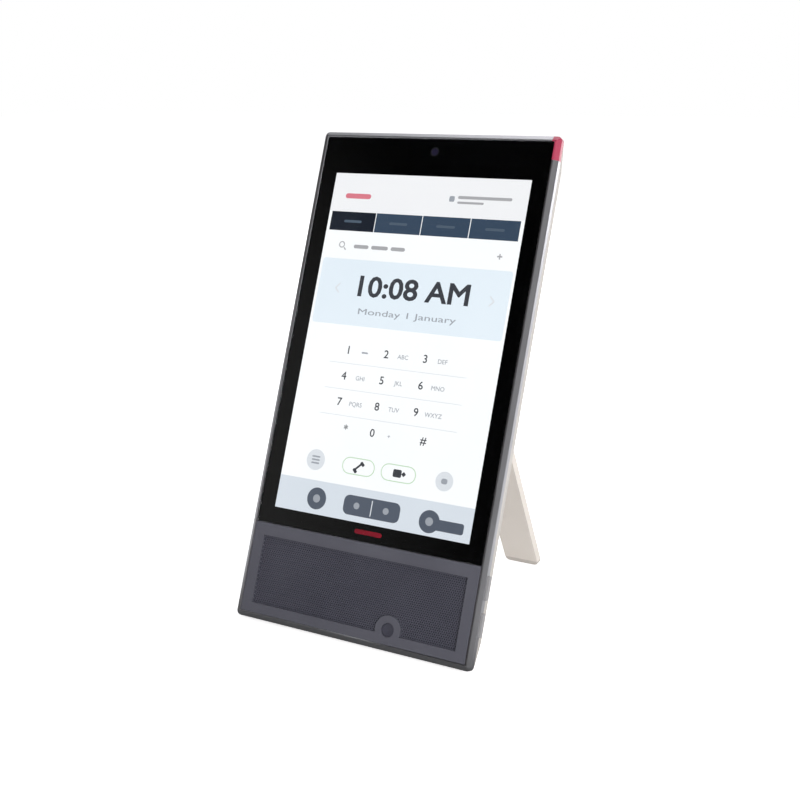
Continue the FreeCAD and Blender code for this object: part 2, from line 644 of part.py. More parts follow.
# Speaker driver behind the frame
GASKET_BACK = "(" + FRAME_BACK + " + gasket_thickness)"
FLANGE_BACK = "(" + GASKET_BACK + " + flange_thickness)"
BASKET_BACK = "(" + FLANGE_BACK + " + basket_depth)"
MAGNET_BACK = "(" + BASKET_BACK + " + magnet_thickness)"
gasket_ring = disc("gasket_ring", SPEAKER_X, CHIN_MIDDLE, "speaker_radius", (FRAME_BACK, GASKET_BACK))
gasket_bore = disc("gasket_bore", SPEAKER_X, CHIN_MIDDLE, SOUND_RADIUS, ("0", GASKET_BACK + " + 1"))
node("speaker_gasket", cut("gasket_cut", gasket_ring, gasket_bore))

flange = disc("flange", SPEAKER_X, CHIN_MIDDLE, "speaker_radius", (GASKET_BACK, FLANGE_BACK))
bucket = taper("bucket", SPEAKER_X, CHIN_MIDDLE, "speaker_radius - basket_wall", "magnet_radius",
               (FLANGE_BACK, BASKET_BACK))
throat = disc("throat", SPEAKER_X, CHIN_MIDDLE, SOUND_RADIUS, ("0", FLANGE_BACK))
hollow = taper("hollow", SPEAKER_X, CHIN_MIDDLE, SOUND_RADIUS, "magnet_radius - speaker_ring",
               (FLANGE_BACK, BASKET_BACK + " - basket_wall"))
node("speaker_basket", cut("basket_cut", join("basket_whole", flange, bucket), throat, hollow))

cone_outer = taper("cone_outer", SPEAKER_X, CHIN_MIDDLE, SOUND_RADIUS + " - fit_gap", "magnet_radius / 2",
                   (GASKET_BACK, BASKET_BACK + " - basket_wall"))
cone_inner = taper("cone_inner", SPEAKER_X, CHIN_MIDDLE, SOUND_RADIUS + " - fit_gap - cone_thickness",
                   "magnet_radius / 2 - cone_thickness",
                   (GASKET_BACK, BASKET_BACK + " - basket_wall - cone_thickness"))
node("speaker_cone", cut("cone_cut", cone_outer, cone_inner))
node("speaker_magnet", disc("magnet", SPEAKER_X, CHIN_MIDDLE, "magnet_radius", (BASKET_BACK, MAGNET_BACK)))

# Round front button, held behind the bezel by its flange
FLANGE_FRONT = "(bezel_thickness + fit_gap)"
STEM_FRONT = "(" + FLANGE_FRONT + " + button_flange)"
STEM_BACK = "(" + STEM_FRONT + " + button_stem)"
cap = disc("button_cap", "button_offset", BUTTON_Y, "button_radius", ("button_sink", FLANGE_FRONT))
lip = disc("button_lip_disc", "button_offset", BUTTON_Y, "button_radius + button_lip", (FLANGE_FRONT, STEM_FRONT))
stem = disc("button_stem_disc", "button_offset", BUTTON_Y, "button_radius - button_lip", (STEM_FRONT, STEM_BACK))
dish = doc.addObject("Part::Sphere", "button_dish")
bind(dish, Radius="dish_radius")
put(dish, "button_offset", BUTTON_Y, "button_sink + dish_depth - dish_radius")
node("round_button", cut("button_cut", join("button_whole", cap, lip, stem), dish))
node("round_button_switch", disc("switch_disc", "button_offset", BUTTON_Y, "button_radius - button_lip + panel_gap",
                                 (STEM_BACK + " + button_travel + fit_gap", FRAME_BACK)))
node("button_board", block("button_board_plate", both("small_board / 2", "button_offset"),
                           both("small_board / 2", BUTTON_Y), (FRAME_BACK, BOARD_FACE)))

# Side buttons, each with a flange inside the wall and a stem that presses a switch
SIDE_DEPTH = (SIDE_FRONT + " + side_button_play", SIDE_FRONT + " + side_button_play + side_button_thickness")
FLANGE_X = (WALL_INSIDE + " - fit_gap - side_flange", WALL_INSIDE + " - fit_gap")
STEM_X = FLANGE_X[0] + " - side_stem"
SWITCH_X = (CAVITY_LEFT + " + thin_board", CAVITY_LEFT + " + thin_board + side_switch_length")
side_switches = []
for label, rise in (("side_button_lower", "lower_button_rise"), ("side_button_upper", UPPER_RISE)):
    key = block(label + "_key", (FLANGE_X[1], HALF_BODY + " + side_button_proud"),
                both("side_button_length / 2", rise), SIDE_DEPTH)
    key_flange = block(label + "_flange", FLANGE_X, both("side_button_length / 2 + side_flange_reach", rise),
                       SIDE_DEPTH)
    key_stem = block(label + "_stem", (STEM_X, FLANGE_X[0]), both("side_stem_width / 2", rise), SIDE_DEPTH)
    node(label, join(label + "_whole", key, key_flange, key_stem))
    side_switches.append(block(label + "_switch", SWITCH_X, both("side_switch_width / 2", rise), SIDE_DEPTH))
node("side_switches", *side_switches)
node("side_switch_board", block("side_board", (CAVITY_LEFT, CAVITY_LEFT + " + thin_board"),
                                (CAVITY_Y[0] + " + fit_gap", CAVITY_Y[1] + " - fit_gap"), SIDE_DEPTH))

# Stand, drawn folded flat against the back: a bar on the hinge and two legs
STAND_FRONT = "(" + BODY_BACK + " - stand_thickness)"
HINGE_DEPTH = "(" + BODY_BACK + " - stand_thickness / 2)"
FLOOR_DROP = "(" + FRAME_BACK + " * sin(lean_angle) + edge_clearance)"
LEG_REACH = ("((hinge_height * cos(lean_angle) - " + HINGE_DEPTH + " * sin(lean_angle) + " + FLOOR_DROP
             + ") / cos(open_angle - lean_angle))")
TIP_SLANT = "(stand_thickness / 2 * tan(open_angle - lean_angle))"
TIP_FRONT = "(hinge_height - " + LEG_REACH + " + " + TIP_SLANT + ")"
TIP_BACK = "(hinge_height - " + LEG_REACH + " - " + TIP_SLANT + ")"
LEG_INSIDE = "(stand_half_width - leg_width)"
STAND_DEPTH = (STAND_FRONT, BODY_BACK)
legs = []
leg_feet = []
for side in (-1, 1):
    across = sided(side, LEG_INSIDE, "stand_half_width")
    legs.append(frustum("leg_%d" % (side + 1), STAND_DEPTH,
                        across, (TIP_FRONT + " + leg_foot_height", "hinge_height"),
                        across, (TIP_BACK + " + leg_foot_height", "hinge_height")))
    foot = frustum("leg_foot_block_%d" % (side + 1), STAND_DEPTH,
                   across, (TIP_FRONT, TIP_FRONT + " + leg_foot_height"),
                   across, (TIP_BACK, TIP_BACK + " + leg_foot_height"))
    doc.recompute()
    low_half = foot.Shape.BoundBox.YMin + foot.Shape.BoundBox.YLength / 2
    leg_feet.append(soften("Fillet", "leg_foot_%d" % (side + 1), foot, size("leg_foot_round"),
                           lambda edge: edge.BoundBox.XLength < 1e-6 and edge.BoundBox.ZLength > 1
                           and edge.CenterOfMass.y < low_half))
bar = block("stand_bar", both("stand_half_width"), ("hinge_height - stand_bar_height", "hinge_height"), STAND_DEPTH)
bar_round = rod("stand_bar_round", both("stand_half_width"), "hinge_height", HINGE_DEPTH, "stand_thickness / 2")
stand_flat = join("stand_flat", bar, bar_round, *legs)
stand_round = soften("Fillet", "stand_round", stand_flat, size("stand_inner_round"),
                     lambda edge: runs_back(edge) and abs(edge.CenterOfMass.x) < size("stand_half_width") - 1)
pin_bores = []
pins = []
washers = []
RECESS_SIDE = "(stand_half_width + stand_side_gap)"
for side in (-1, 1):
    number = side + 1
    reach = sided(side, "stand_half_width - pin_in_stand", RECESS_SIDE + " + pin_in_cover + stand_side_gap")
    pin_bores.append(rod("pin_bore_%d" % number, reach, "hinge_height", HINGE_DEPTH, "pin_radius + pin_clearance"))
    reach = sided(side, "stand_half_width - pin_in_stand + stand_side_gap", RECESS_SIDE + " + pin_in_cover")
    pins.append(rod("pin_%d" % number, reach, "hinge_height", HINGE_DEPTH, "pin_radius"))
    reach = sided(side, "stand_half_width + pin_clearance", RECESS_SIDE + " - pin_clearance")
    ring = rod("washer_ring_%d" % number, reach, "hinge_height", HINGE_DEPTH, "washer_radius")
    washers.append(cut("washer_%d" % number, ring, pin_bores[-1]))
node("stand", cut("stand_cut", stand_round, *pin_bores))
node("stand_feet", *leg_feet)
on_stand.update(("stand", "stand_feet"))
node("left_hinge_pin", pins[0])
node("right_hinge_pin", pins[1])
node("friction_washers", *washers)

# Rear cover: a tapered shell with a recess for the folded stand, a bay for the jacks and posts for its screws
outer_x = both(HALF_BODY)
back_x = both(HALF_BODY + " - side_inset")
outer = frustum("cover_outer", (FRAME_BACK, BODY_BACK), outer_x, ("0", BODY_TOP),
                back_x, ("cover_inset", BODY_TOP + " - cover_inset"))
doc.recompute()
cover_corners = soften("Fillet", "cover_corners", outer, size("corner_radius"),
                       lambda edge: min(edge.BoundBox.XLength, edge.BoundBox.YLength) > 1)
cover_solid = soften("Fillet", "cover_solid", cover_corners, size("cover_round"),
                     lambda edge: edge.BoundBox.ZMax < outer.Shape.BoundBox.ZMin + 1e-6)
cavity = frustum("cover_cavity", (FRAME_BACK, COVER_INSIDE),
                 both(HALF_BODY + " - side_wall"), ("side_wall", BODY_TOP + " - side_wall"),
                 both(inside(COVER_INSIDE)),
                 ("side_wall + " + inset(COVER_INSIDE), BODY_TOP + " - side_wall - " + inset(COVER_INSIDE)))
BAR_HIGH = "(hinge_height + stand_thickness / 2 + stand_gap)"
# A shallow bare place for a label on the upper back, and air slots above it
LABEL_LOW = "(" + BAR_HIGH + " + label_gap)"
LABEL_HIGH = "(" + LABEL_LOW + " + label_height)"
VENT_LOW = "(" + LABEL_HIGH + " + label_gap)"
label_block = block("label_block", both("label_width / 2"), (LABEL_LOW, LABEL_HIGH),
                    (BODY_BACK + " - label_sink", BODY_BACK + " + 1"))
label_place = soften("Fillet", "label_place", label_block, size("label_corner"), runs_back)
vent_blocks = []
for number in range(round(size("vent_count"))):
    middle = "(%d - (vent_count - 1) / 2) * vent_pitch" % number
    vent_blocks.append(block("vent_block_%d" % number, both("vent_width / 2", middle),
                             (VENT_LOW, VENT_LOW + " + vent_length"), (COVER_INSIDE + " - 1", BODY_BACK + " + 1")))
vents = soften("Fillet", "vents", join("vent_row", *vent_blocks), size("vent_width") / 2 - size("fit_gap"), runs_back)
shell = cut("cover_shell", cover_solid, cavity, label_place, vents)

RECESS_FRONT = "(" + STAND_FRONT + " - stand_gap)"
RECESS_LINER = (RECESS_FRONT + " - bay_wall", BODY_BACK)
RECESS_DEPTH = (RECESS_FRONT, BODY_BACK + " + 1")
BAR_LOW = "(hinge_height - stand_bar_height - stand_side_gap)"
liners = [block("bar_liner", both(RECESS_SIDE + " + bay_wall"), (BAR_LOW + " - bay_wall", BAR_HIGH + " + bay_wall"),
                RECESS_LINER)]
stand_room = [block("bar_recess", both(RECESS_SIDE), (BAR_LOW, BAR_HIGH), RECESS_DEPTH)]
for side in (-1, 1):
    number = side + 1
    across = sided(side, LEG_INSIDE + " - stand_side_gap - bay_wall", RECESS_SIDE + " + bay_wall")
    liners.append(block("leg_liner_%d" % number, across, ("0", "hinge_height"), RECESS_LINER))
    across = sided(side, LEG_INSIDE + " - stand_side_gap", RECESS_SIDE)
    stand_room.append(block("leg_recess_%d" % number, across, ("-1 - " + BODY_BACK, BAR_LOW + " + 1"), RECESS_DEPTH))
    across = sided(side, RECESS_SIDE, RECESS_SIDE + " + pin_in_cover + stand_side_gap + bay_wall")
    liners.append(block("pin_boss_%d" % number, across, both("pin_boss", "hinge_height"), RECESS_LINER))

stand_recess = soften("Fillet", "stand_recess", join("stand_room", *stand_room),
                      size("stand_inner_round") - size("stand_side_gap"),
                      lambda edge: runs_back(edge) and edge.CenterOfMass.y > 0
                      and abs(edge.CenterOfMass.x) < size("stand_half_width") - 1)
recesses = [stand_recess]

BAY_HALF = "(jack_pitch / 2 + jack_width / 2 + bay_margin)"
BAY_FRONT = "(" + BOARD_BACK + " + 4 * fit_gap)"
liners.append(block("bay_liner", both(BAY_HALF + " + bay_wall"),
                    (BAY_FLOOR + " - bay_wall", BAY_TOP + " + bay_wall"), (BAY_FRONT + " - bay_wall", BODY_BACK)))
recesses.append(block("bay", both(BAY_HALF), (BAY_FLOOR, BAY_TOP), (BAY_FRONT, BODY_BACK + " + 1")))
for side in (-1, 1):
    recesses.append(block("jack_hole_%d" % (side + 1),
                          both("jack_width / 2 + jack_clearance", "%d * jack_pitch / 2" % side),
                          (BAY_TOP + " - 1", BAY_TOP + " + bay_wall + 1"),
                          (BOARD_FRONT, JACK_BACK + " + jack_clearance")))
recesses.append(block("usb_hole", sided(-1, USB_MOUTH + " - side_wall - usb_setback", HALF_BODY + " + 1"),
                      both("usb_width / 2 + panel_gap", "usb_rise"),
                      (BOARD_BACK + " - panel_gap", USB_BACK + " + panel_gap")))
# Room in the wall for the heads of the screws that hold the mid plate
for x, y in PLATE_SPOTS:
    recesses.append(disc("plate_head_room_%d" % len(recesses), x, y, "screw_head_radius + panel_gap",
                         (FRAME_BACK, PLATE_BACK + " + screw_head_height + panel_gap")))
HEAD_SEAT = "(" + BODY_BACK + " - cover_screw_sink - cover_screw_head_height)"
cover_screws = []
for side, rise in POST_SPOTS:
    number = len(cover_screws)
    x = "%d * %s" % (side, POST_X)
    liners.append(disc("post_%d" % number, x, rise, "post_radius", (FRAME_BACK, BODY_BACK)))
    recesses.append(disc("post_bore_%d" % number, x, rise, "cover_screw_radius + screw_gap", ("0", BODY_BACK + " + 1")))
    recesses.append(disc("head_bore_%d" % number, x, rise, "cover_screw_head + 3 * screw_gap",
                         (HEAD_SEAT, BODY_BACK + " + 1")))
    shank = disc("cover_shank_%d" % number, x, rise, "cover_screw_radius", (SCREW_END, HEAD_SEAT))
    head = disc("cover_head_%d" % number, x, rise, "cover_screw_head",
                (HEAD_SEAT, HEAD_SEAT + " + cover_screw_head_height"))
    cover_screws.append(join("cover_screw_%d" % number, shank, head))
lining = common("cover_lining", cover_solid, join("cover_liners", *liners))
# The joined faces are whole already, and refining them again can fail where a post meets the side of the recess
cover_cut = cut("cover_cut", join("cover_whole", shell, lining), *recesses, *pin_bores)
cover_cut.Refine = False
node("rear_cover", cover_cut)
node("cover_screws", *cover_screws)

# Base feet: rubber wedges between the tapered underside and the desk
FOOT_FRONT = "(" + FRAME_BACK + " + base_foot_front)"
FOOT_BACK = "(" + FOOT_FRONT + " + base_foot_depth)"


def desk_line(depth):
    """The height, up the face, at which the desk lies under a depth."""
    return "(((%s) * sin(lean_angle) - %s) / cos(lean_angle))" % (depth, FLOOR_DROP)


base_feet = []
for side in (-1, 1):
    across = both("base_foot_length / 2", "%d * base_foot_offset" % side)
    base_feet.append(frustum("base_foot_%d" % (side + 1), (FOOT_FRONT, FOOT_BACK),
                             across, (desk_line(FOOT_FRONT), inset(FOOT_FRONT)),
                             across, (desk_line(FOOT_BACK), inset(FOOT_BACK))))
node("base_feet", *base_feet)

# Lean everything back, open the stand about its hinge and stand the phone on the desk
doc.recompute()
lean = FreeCAD.Placement(Vector(), FreeCAD.Rotation(Vector(1, 0, 0), 90 - size("lean_angle")))
hinge_depth = -pins[0].Placement.Base.z
hinge = Vector(0, size("hinge_height"), -hinge_depth)
opened = FreeCAD.Placement(Vector(), FreeCAD.Rotation(Vector(1, 0, 0), size("open_angle")), hinge)


def set_down(shift):
    """Give every sub-part the shared placement, moved by a shift."""
    moved = FreeCAD.Placement(shift, FreeCAD.Rotation()).multiply(lean)
    for label, item in nodes.items():
        item.Placement = moved.multiply(opened) if label in on_stand else moved
    return moved


def outer_box():
    """The box around every sub-part."""
    box = FreeCAD.BoundBox()
    for item in nodes.values():
        box.add(item.Shape.optimalBoundingBox(False))
    return box


set_down(Vector())
whole = outer_box()
face = set_down(Vector(-whole.Center.x, -whole.Center.y, -whole.ZMin))
doc.recompute()

for item in doc.Objects:
    if "Invalid" in item.State or "Error" in item.State:
        raise RuntimeError("%s failed: %s" % (item.Label, item.State))
for label, item in nodes.items():
    if item.Shape.isNull() or not item.Shape.isValid() or not item.Shape.Solids:
        raise RuntimeError("%s has no valid shape" % label)

os.makedirs("parts", exist_ok=True)
for label, item in nodes.items():
    item.Shape.exportStep("parts/%s.step" % label)

whole = outer_box()
print("%d sub-parts, %.1f x %.1f x %.1f mm" % (len(nodes), whole.XLength, whole.YLength, whole.ZLength))
print("hinge at", face.multVec(hinge), "front face origin at", face.Base)
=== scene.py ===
# %% [markdown]
# # A desk phone that leans back on a folding stand
# The phone's construction is already packed: every solid has its real size and place, and this lesson
# only dresses it. What Blender adds rides on a body of that frame, so it follows when the stand folds or
# a button is pressed.

# %% Load the frame
import json
import math

import bmesh
import bpy
from mathutils import Matrix, Vector


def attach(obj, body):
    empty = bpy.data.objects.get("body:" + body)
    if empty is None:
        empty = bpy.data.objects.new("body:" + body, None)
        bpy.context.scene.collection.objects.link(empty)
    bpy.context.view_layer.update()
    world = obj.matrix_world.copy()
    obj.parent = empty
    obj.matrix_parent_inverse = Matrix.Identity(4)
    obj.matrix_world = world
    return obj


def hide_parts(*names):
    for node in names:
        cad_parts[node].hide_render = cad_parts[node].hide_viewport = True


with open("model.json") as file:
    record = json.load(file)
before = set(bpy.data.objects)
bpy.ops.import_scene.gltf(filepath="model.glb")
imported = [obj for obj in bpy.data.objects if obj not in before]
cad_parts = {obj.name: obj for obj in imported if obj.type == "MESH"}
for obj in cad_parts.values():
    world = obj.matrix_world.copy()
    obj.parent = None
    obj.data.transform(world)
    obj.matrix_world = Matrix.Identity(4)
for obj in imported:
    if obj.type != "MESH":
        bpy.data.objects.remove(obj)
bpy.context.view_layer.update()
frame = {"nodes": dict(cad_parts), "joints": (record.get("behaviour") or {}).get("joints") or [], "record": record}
nodes = frame["nodes"]
MM = 0.001

# %% [markdown]
# ## The face's own directions
# The phone leans back, so up and down on its face aren't up and down in the room. The round button is
# pressed straight into the face, and its joint gives that direction. The other two follow from it, and
# every piece on the face is then placed in millimetres to the right of, above and in front of the middle
# of the lit display.

# %% Find the face
press = next(joint for joint in frame["joints"] if joint["name"] == "front_button_press")
inward = Vector(press["axis"]).normalized()
outward = -inward
across = Vector((1, 0, 0))
upward = outward.cross(across)
FACE = Matrix((across, upward, outward)).transposed()
FACE_TURN = FACE.to_euler()


def reach(node, direction):
    """How far a piece reaches along a direction: its nearest and its farthest corner."""
    steps = [vertex.co.dot(direction) for vertex in nodes[node].data.vertices]
    return min(steps), max(steps)


def extent(node, direction):
    """A piece's size along a direction, in millimetres."""
    low, high = reach(node, direction)
    return (high - low) / MM


LIT_MARGIN = 3.2 * MM
LIT_FOOT = 7.0 * MM
panel_left, panel_right = reach("lcd_panel", across)
panel_low, panel_high = reach("lcd_panel", upward)
panel_front = reach("lcd_panel", outward)[1]
screen_width = (panel_right - panel_left - 2 * LIT_MARGIN) / MM
screen_height = (panel_high - panel_low - LIT_MARGIN - LIT_FOOT) / MM
screen_middle = (across * (panel_left + panel_right) / 2
                 + upward * (panel_low + LIT_FOOT + panel_high - LIT_MARGIN) / 2 + outward * panel_front)


def on_face(x, y, out):
    """A point in millimetres from the middle of the display: right, up the face and out of it."""
    return screen_middle + MM * (x * across + y * upward + out * outward)


def face_place(node):
    """A piece's middle in the same millimetres."""
    middle = [sum(reach(node, way)) / 2 - screen_middle.dot(way) for way in (across, upward, outward)]
    return [step / MM for step in middle]


lean = math.degrees(math.asin(upward.y))
print("display %.1f x %.1f mm, lean %.1f degrees" % (screen_width, screen_height, lean))

# %% [markdown]
# ## Camera
# A display is a rectangle of a known shape, so its four corners in a photograph fix where the camera
# stood. The place is written from the middle of the display, the aim is the point on the face at the
# picture's middle, and a small roll turns the horizon as it was.

# %% Camera
CAMERA_PLACE = (276.0, -68.0, 508.7)
CAMERA_AIM = (4.95, -24.7, 0.0)
CAMERA_ROLL = -1.12
FOCAL_PIXELS = 1202.4
PICTURE_PIXELS = 800
SENSOR_WIDTH = 36.0
NEAREST_SEEN = 0.01

bpy.ops.object.select_all(action="DESELECT")
bpy.ops.object.camera_add(location=on_face(*CAMERA_PLACE))
camera = bpy.context.object
view_line = on_face(*CAMERA_AIM) - on_face(*CAMERA_PLACE)
level = view_line.to_track_quat("-Z", "Y").to_matrix()
camera.rotation_euler = (level @ Matrix.Rotation(math.radians(CAMERA_ROLL), 3, "Z")).to_euler()
camera.data.sensor_width = SENSOR_WIDTH
camera.data.lens = SENSOR_WIDTH * FOCAL_PIXELS / PICTURE_PIXELS
camera.data.clip_start = NEAREST_SEEN
bpy.context.scene.camera = camera
bpy.context.scene.view_settings.view_transform = "Standard"
print("camera %.2f m from the face, lens %.1f mm" % (view_line.length, camera.data.lens))

# %% [markdown]
# ## Studio: floor, world and lamps
# The phone stands in a white studio. A soft box behind it on the right gives the bright edge along its
# side, two above it light the top edge, a weak one behind on the left fills the far side, and a low one
# in front on the right lights its face and the stand. The last two are kept out of the mirrored light.
# The world glows on the right and is dim in front on the left, which is what the glass mirrors, so its
# border stays black. The camera sees the world as plain white.


# %% Node helpers
def combined(tree, operation, first, second):
    """A node that joins two values, by their sum, their product or the larger of them."""
    maths = tree.nodes.new("ShaderNodeMath")
    maths.operation = operation
    tree.links.new(first, maths.inputs[0])
    tree.links.new(second, maths.inputs[1])
    return maths.outputs[0]


def ramp(tree, value, start, full, dim=0.0, bright=1.0, course="LINEAR"):
    """A node that goes from dim to bright while a value goes from start to full."""
    fade = tree.nodes.new("ShaderNodeMapRange")
    fade.interpolation_type = course
    for label, number in (("From Min", start), ("From Max", full), ("To Min", dim), ("To Max", bright)):
        fade.inputs[label].default_value = number
    tree.links.new(value, fade.inputs["Value"])
    return fade.outputs["Result"]


def through_glass(tree, rays):
    """One for a ray that was mirrored or went through glass, else nought."""
    return combined(tree, "MAXIMUM", rays.outputs["Is Glossy Ray"], rays.outputs["Is Transmission Ray"])


print("node helpers ready")

# %% Floor
FLOOR_SIZE = 8.0
FLOOR_DROP = 0.0002
FRONT_EDGE = (-0.03, -0.09, 0.0)
PAPER_TONE = (0.86, 0.86, 0.86, 1)
# In what the frame and glass mirror, the floor has a dark grey tone: painted shade in the reflection.
MIRRORED_PAPER_SHADE = (0.2, 0.2, 0.2, 1)

bpy.ops.mesh.primitive_plane_add(size=FLOOR_SIZE, location=(0, 0, -FLOOR_DROP))
floor = bpy.context.object
floor.name = "studio_floor"
floor_white = bpy.data.materials.new("studio_floor_white")
floor_white.use_nodes = True
tree = floor_white.node_tree
paper = tree.nodes["Principled BSDF"]
paper.inputs["Roughness"].default_value = 0.9
paper.inputs["Specular IOR Level"].default_value = 0.0
paper.inputs["Emission Color"].default_value = (1, 1, 1, 1)
where = tree.nodes.new("ShaderNodeTexCoord")
away = tree.nodes.new("ShaderNodeVectorMath")
away.operation = "DISTANCE"
away.inputs[1].default_value = FRONT_EDGE
tree.links.new(where.outputs["Object"], away.inputs[0])
metres = away.outputs["Value"]
rays = tree.nodes.new("ShaderNodeLightPath")
in_mirror = through_glass(tree, rays)
glow_seen = ramp(tree, metres, start=0.15, full=1.0, dim=0.7, bright=1.0)
# Mirrored rays get no floor glow close to the phone: painted shade that keeps the frame's bottom bevel dark in its
# reflection of the floor.
glow_mirrored = ramp(tree, metres, start=0.1, full=0.22, dim=0.0, bright=0.95)
seen = combined(tree, "MULTIPLY", rays.outputs["Is Camera Ray"], glow_seen)
mirrored = combined(tree, "MULTIPLY", in_mirror, glow_mirrored)
tree.links.new(combined(tree, "MAXIMUM", seen, mirrored), paper.inputs["Emission Strength"])
tone = tree.nodes.new("ShaderNodeMix")
tone.data_type = "RGBA"
tone.inputs["A"].default_value = PAPER_TONE
tone.inputs["B"].default_value = MIRRORED_PAPER_SHADE
tree.links.new(in_mirror, tone.inputs["Factor"])
tree.links.new(tone.outputs["Result"], paper.inputs["Base Color"])
floor.data.materials.append(floor_white)
print("floor", FLOOR_SIZE, "m wide")

# %% World
world = bpy.data.worlds.new("studio")
bpy.context.scene.world = world
world.use_nodes = True
tree = world.node_tree
tree.nodes.clear()
out = tree.nodes.new("ShaderNodeOutputWorld")
room = tree.nodes.new("ShaderNodeBackground")
white = tree.nodes.new("ShaderNodeBackground")
choose = tree.nodes.new("ShaderNodeMixShader")
where = tree.nodes.new("ShaderNodeTexCoord")


def glow_towards(direction, start, full, dim, bright):
    """Light that grows towards a direction, between two cosines of the angle from it."""
    towards = tree.nodes.new("ShaderNodeVectorMath")
    towards.operation = "DOT_PRODUCT"
    towards.inputs[1].default_value = Vector(direction).normalized()
    tree.links.new(where.outputs["Generated"], towards.inputs[0])
    return ramp(tree, towards.outputs["Value"], start, full, dim, bright, "SMOOTHSTEP")


right_glow = glow_towards((0.7, -0.4, 0.6), start=0.8, full=1.0, dim=0.01, bright=0.52)
left_glow = glow_towards((-0.7, -0.66, 0.25), start=0.92, full=1.0, dim=0.0, bright=0.24)
tree.links.new(combined(tree, "ADD", right_glow, left_glow), room.inputs["Strength"])
room.inputs["Color"].default_value = (1.0, 0.99, 0.97, 1)
white.inputs["Color"].default_value = (1, 1, 1, 1)

rays = tree.nodes.new("ShaderNodeLightPath")
ways = tree.nodes.new("ShaderNodeSeparateXYZ")
tree.links.new(where.outputs["Generated"], ways.inputs[0])
backdrop = ramp(tree, ways.outputs["Y"], start=0.35, full=0.75)
mirrored = combined(tree, "MULTIPLY", through_glass(tree, rays), backdrop)
tree.links.new(combined(tree, "MAXIMUM", rays.outputs["Is Camera Ray"], mirrored), choose.inputs["Fac"])
tree.links.new(room.outputs[0], choose.inputs[1])
tree.links.new(white.outputs[0], choose.inputs[2])
tree.links.new(choose.outputs[0], out.inputs["Surface"])
print("world", world.name)

# %% Lamps
LAMP_AIM = Vector((0, 0, 0.1))


def soft_box(name, place, size, power, mirrored=True):
    """A square soft box that faces the middle of the phone. It can be kept out of what the metal mirrors."""
    bpy.ops.object.light_add(type="AREA", location=place)
    lamp = bpy.context.object
    lamp.name = name
    lamp.data.shape = "SQUARE"
    lamp.data.size = size
    lamp.data.energy = power
    lamp.rotation_euler = (LAMP_AIM - Vector(place)).to_track_quat("-Z", "Y").to_euler()
    lamp.visible_glossy = mirrored


soft_box("edge_box", (0.8, 1.35, 0.32), size=0.8, power=7)
soft_box("face_box", (0.95, -0.8, 0.42), size=0.8, power=15.5, mirrored=False)
soft_box("sky_box", (-0.16, 0.55, 1.7), size=1.2, power=8)
soft_box("top_box", (0.15, -0.1, 1.5), size=0.9, power=6)
soft_box("far_box", (-1.2, 0.6, 0.5), size=0.9, power=4.5, mirrored=False)

# %% [markdown]
# ## One group for every moulded, cast or blasted surface
# Real surfaces are never one colour: a mould leaves a fine grain, and handling leaves faint clouds of
# gloss. One node group holds both. It mixes two tones by a cloudy noise, moves the roughness between two
# values and gives the height of the grain, and each material sets its own tones and scales.

# %% Grain group
GRAIN_SHARE = 0.35
CLOUD_SHARE = 0.65
NOISE_LOW = 0.3
NOISE_HIGH = 0.7


def srgb(red, green, blue):
    """A colour as it is read on a screen, 0 to 255, made linear for the shader."""
    shares = [value / 255 for value in (red, green, blue)]
    return tuple(v / 12.92 if v <= 0.04045 else ((v + 0.055) / 1.055) ** 2.4 for v in shares) + (1.0,)


def new_group(name, inputs, outputs):
    """An empty shader group with its sockets, and its input and output nodes."""
    group = bpy.data.node_groups.new(name, "ShaderNodeTree")
    for label, kind, value in inputs:
        entry = group.interface.new_socket(label, in_out="INPUT", socket_type="NodeSocket" + kind)
        entry.default_value = value
    for label, kind in outputs:
        group.interface.new_socket(label, in_out="OUTPUT", socket_type="NodeSocket" + kind)
    return group, group.nodes.new("NodeGroupInput"), group.nodes.new("NodeGroupOutput")


grain_group, given, result = new_group(
    "surface_grain",
    [("Tone", "Color", (0.5, 0.5, 0.5, 1)), ("Deeper Tone", "Color", (0.4, 0.4, 0.4, 1)),
     ("Grain Scale", "Float", 2000.0), ("Cloud Scale", "Float", 30.0),
     ("Smooth", "Float", 0.4), ("Rough", "Float", 0.6)],
    [("Color", "Color"), ("Roughness", "Float"), ("Height", "Float")])
make = grain_group.nodes.new
link = grain_group.links.new
place = make("ShaderNodeTexCoord")
grain = make("ShaderNodeTexNoise")
grain.inputs["Detail"].default_value = 2.0
cloud = make("ShaderNodeTexNoise")
cloud.inputs["Detail"].default_value = 4.0
for noise, scale in ((grain, "Grain Scale"), (cloud, "Cloud Scale")):
    link(place.outputs["Object"], noise.inputs["Vector"])
    link(given.outputs[scale], noise.inputs["Scale"])
blend = make("ShaderNodeMath")
blend.operation = "MULTIPLY_ADD"
blend.inputs[1].default_value = GRAIN_SHARE
link(grain.outputs["Fac"], blend.inputs[0])
soften = make("ShaderNodeMath")
soften.operation = "MULTIPLY"
soften.inputs[1].default_value = CLOUD_SHARE
link(cloud.outputs["Fac"], soften.inputs[0])
link(soften.outputs[0], blend.inputs[2])
spread = make("ShaderNodeMapRange")
spread.inputs["From Min"].default_value = NOISE_LOW
spread.inputs["From Max"].default_value = NOISE_HIGH
link(blend.outputs[0], spread.inputs["Value"])
tones = make("ShaderNodeMix")
tones.data_type = "RGBA"
link(spread.outputs["Result"], tones.inputs["Factor"])
link(given.outputs["Deeper Tone"], tones.inputs["A"])
link(given.outputs["Tone"], tones.inputs["B"])
gloss = make("ShaderNodeMapRange")
gloss.inputs["From Min"].default_value = NOISE_LOW
gloss.inputs["From Max"].default_value = NOISE_HIGH
link(cloud.outputs["Fac"], gloss.inputs["Value"])
link(given.outputs["Smooth"], gloss.inputs["To Min"])
link(given.outputs["Rough"], gloss.inputs["To Max"])
link(tones.outputs["Result"], result.inputs["Color"])
link(gloss.outputs["Result"], result.inputs["Roughness"])
link(grain.outputs["Fac"], result.inputs["Height"])
print("group", grain_group.name)

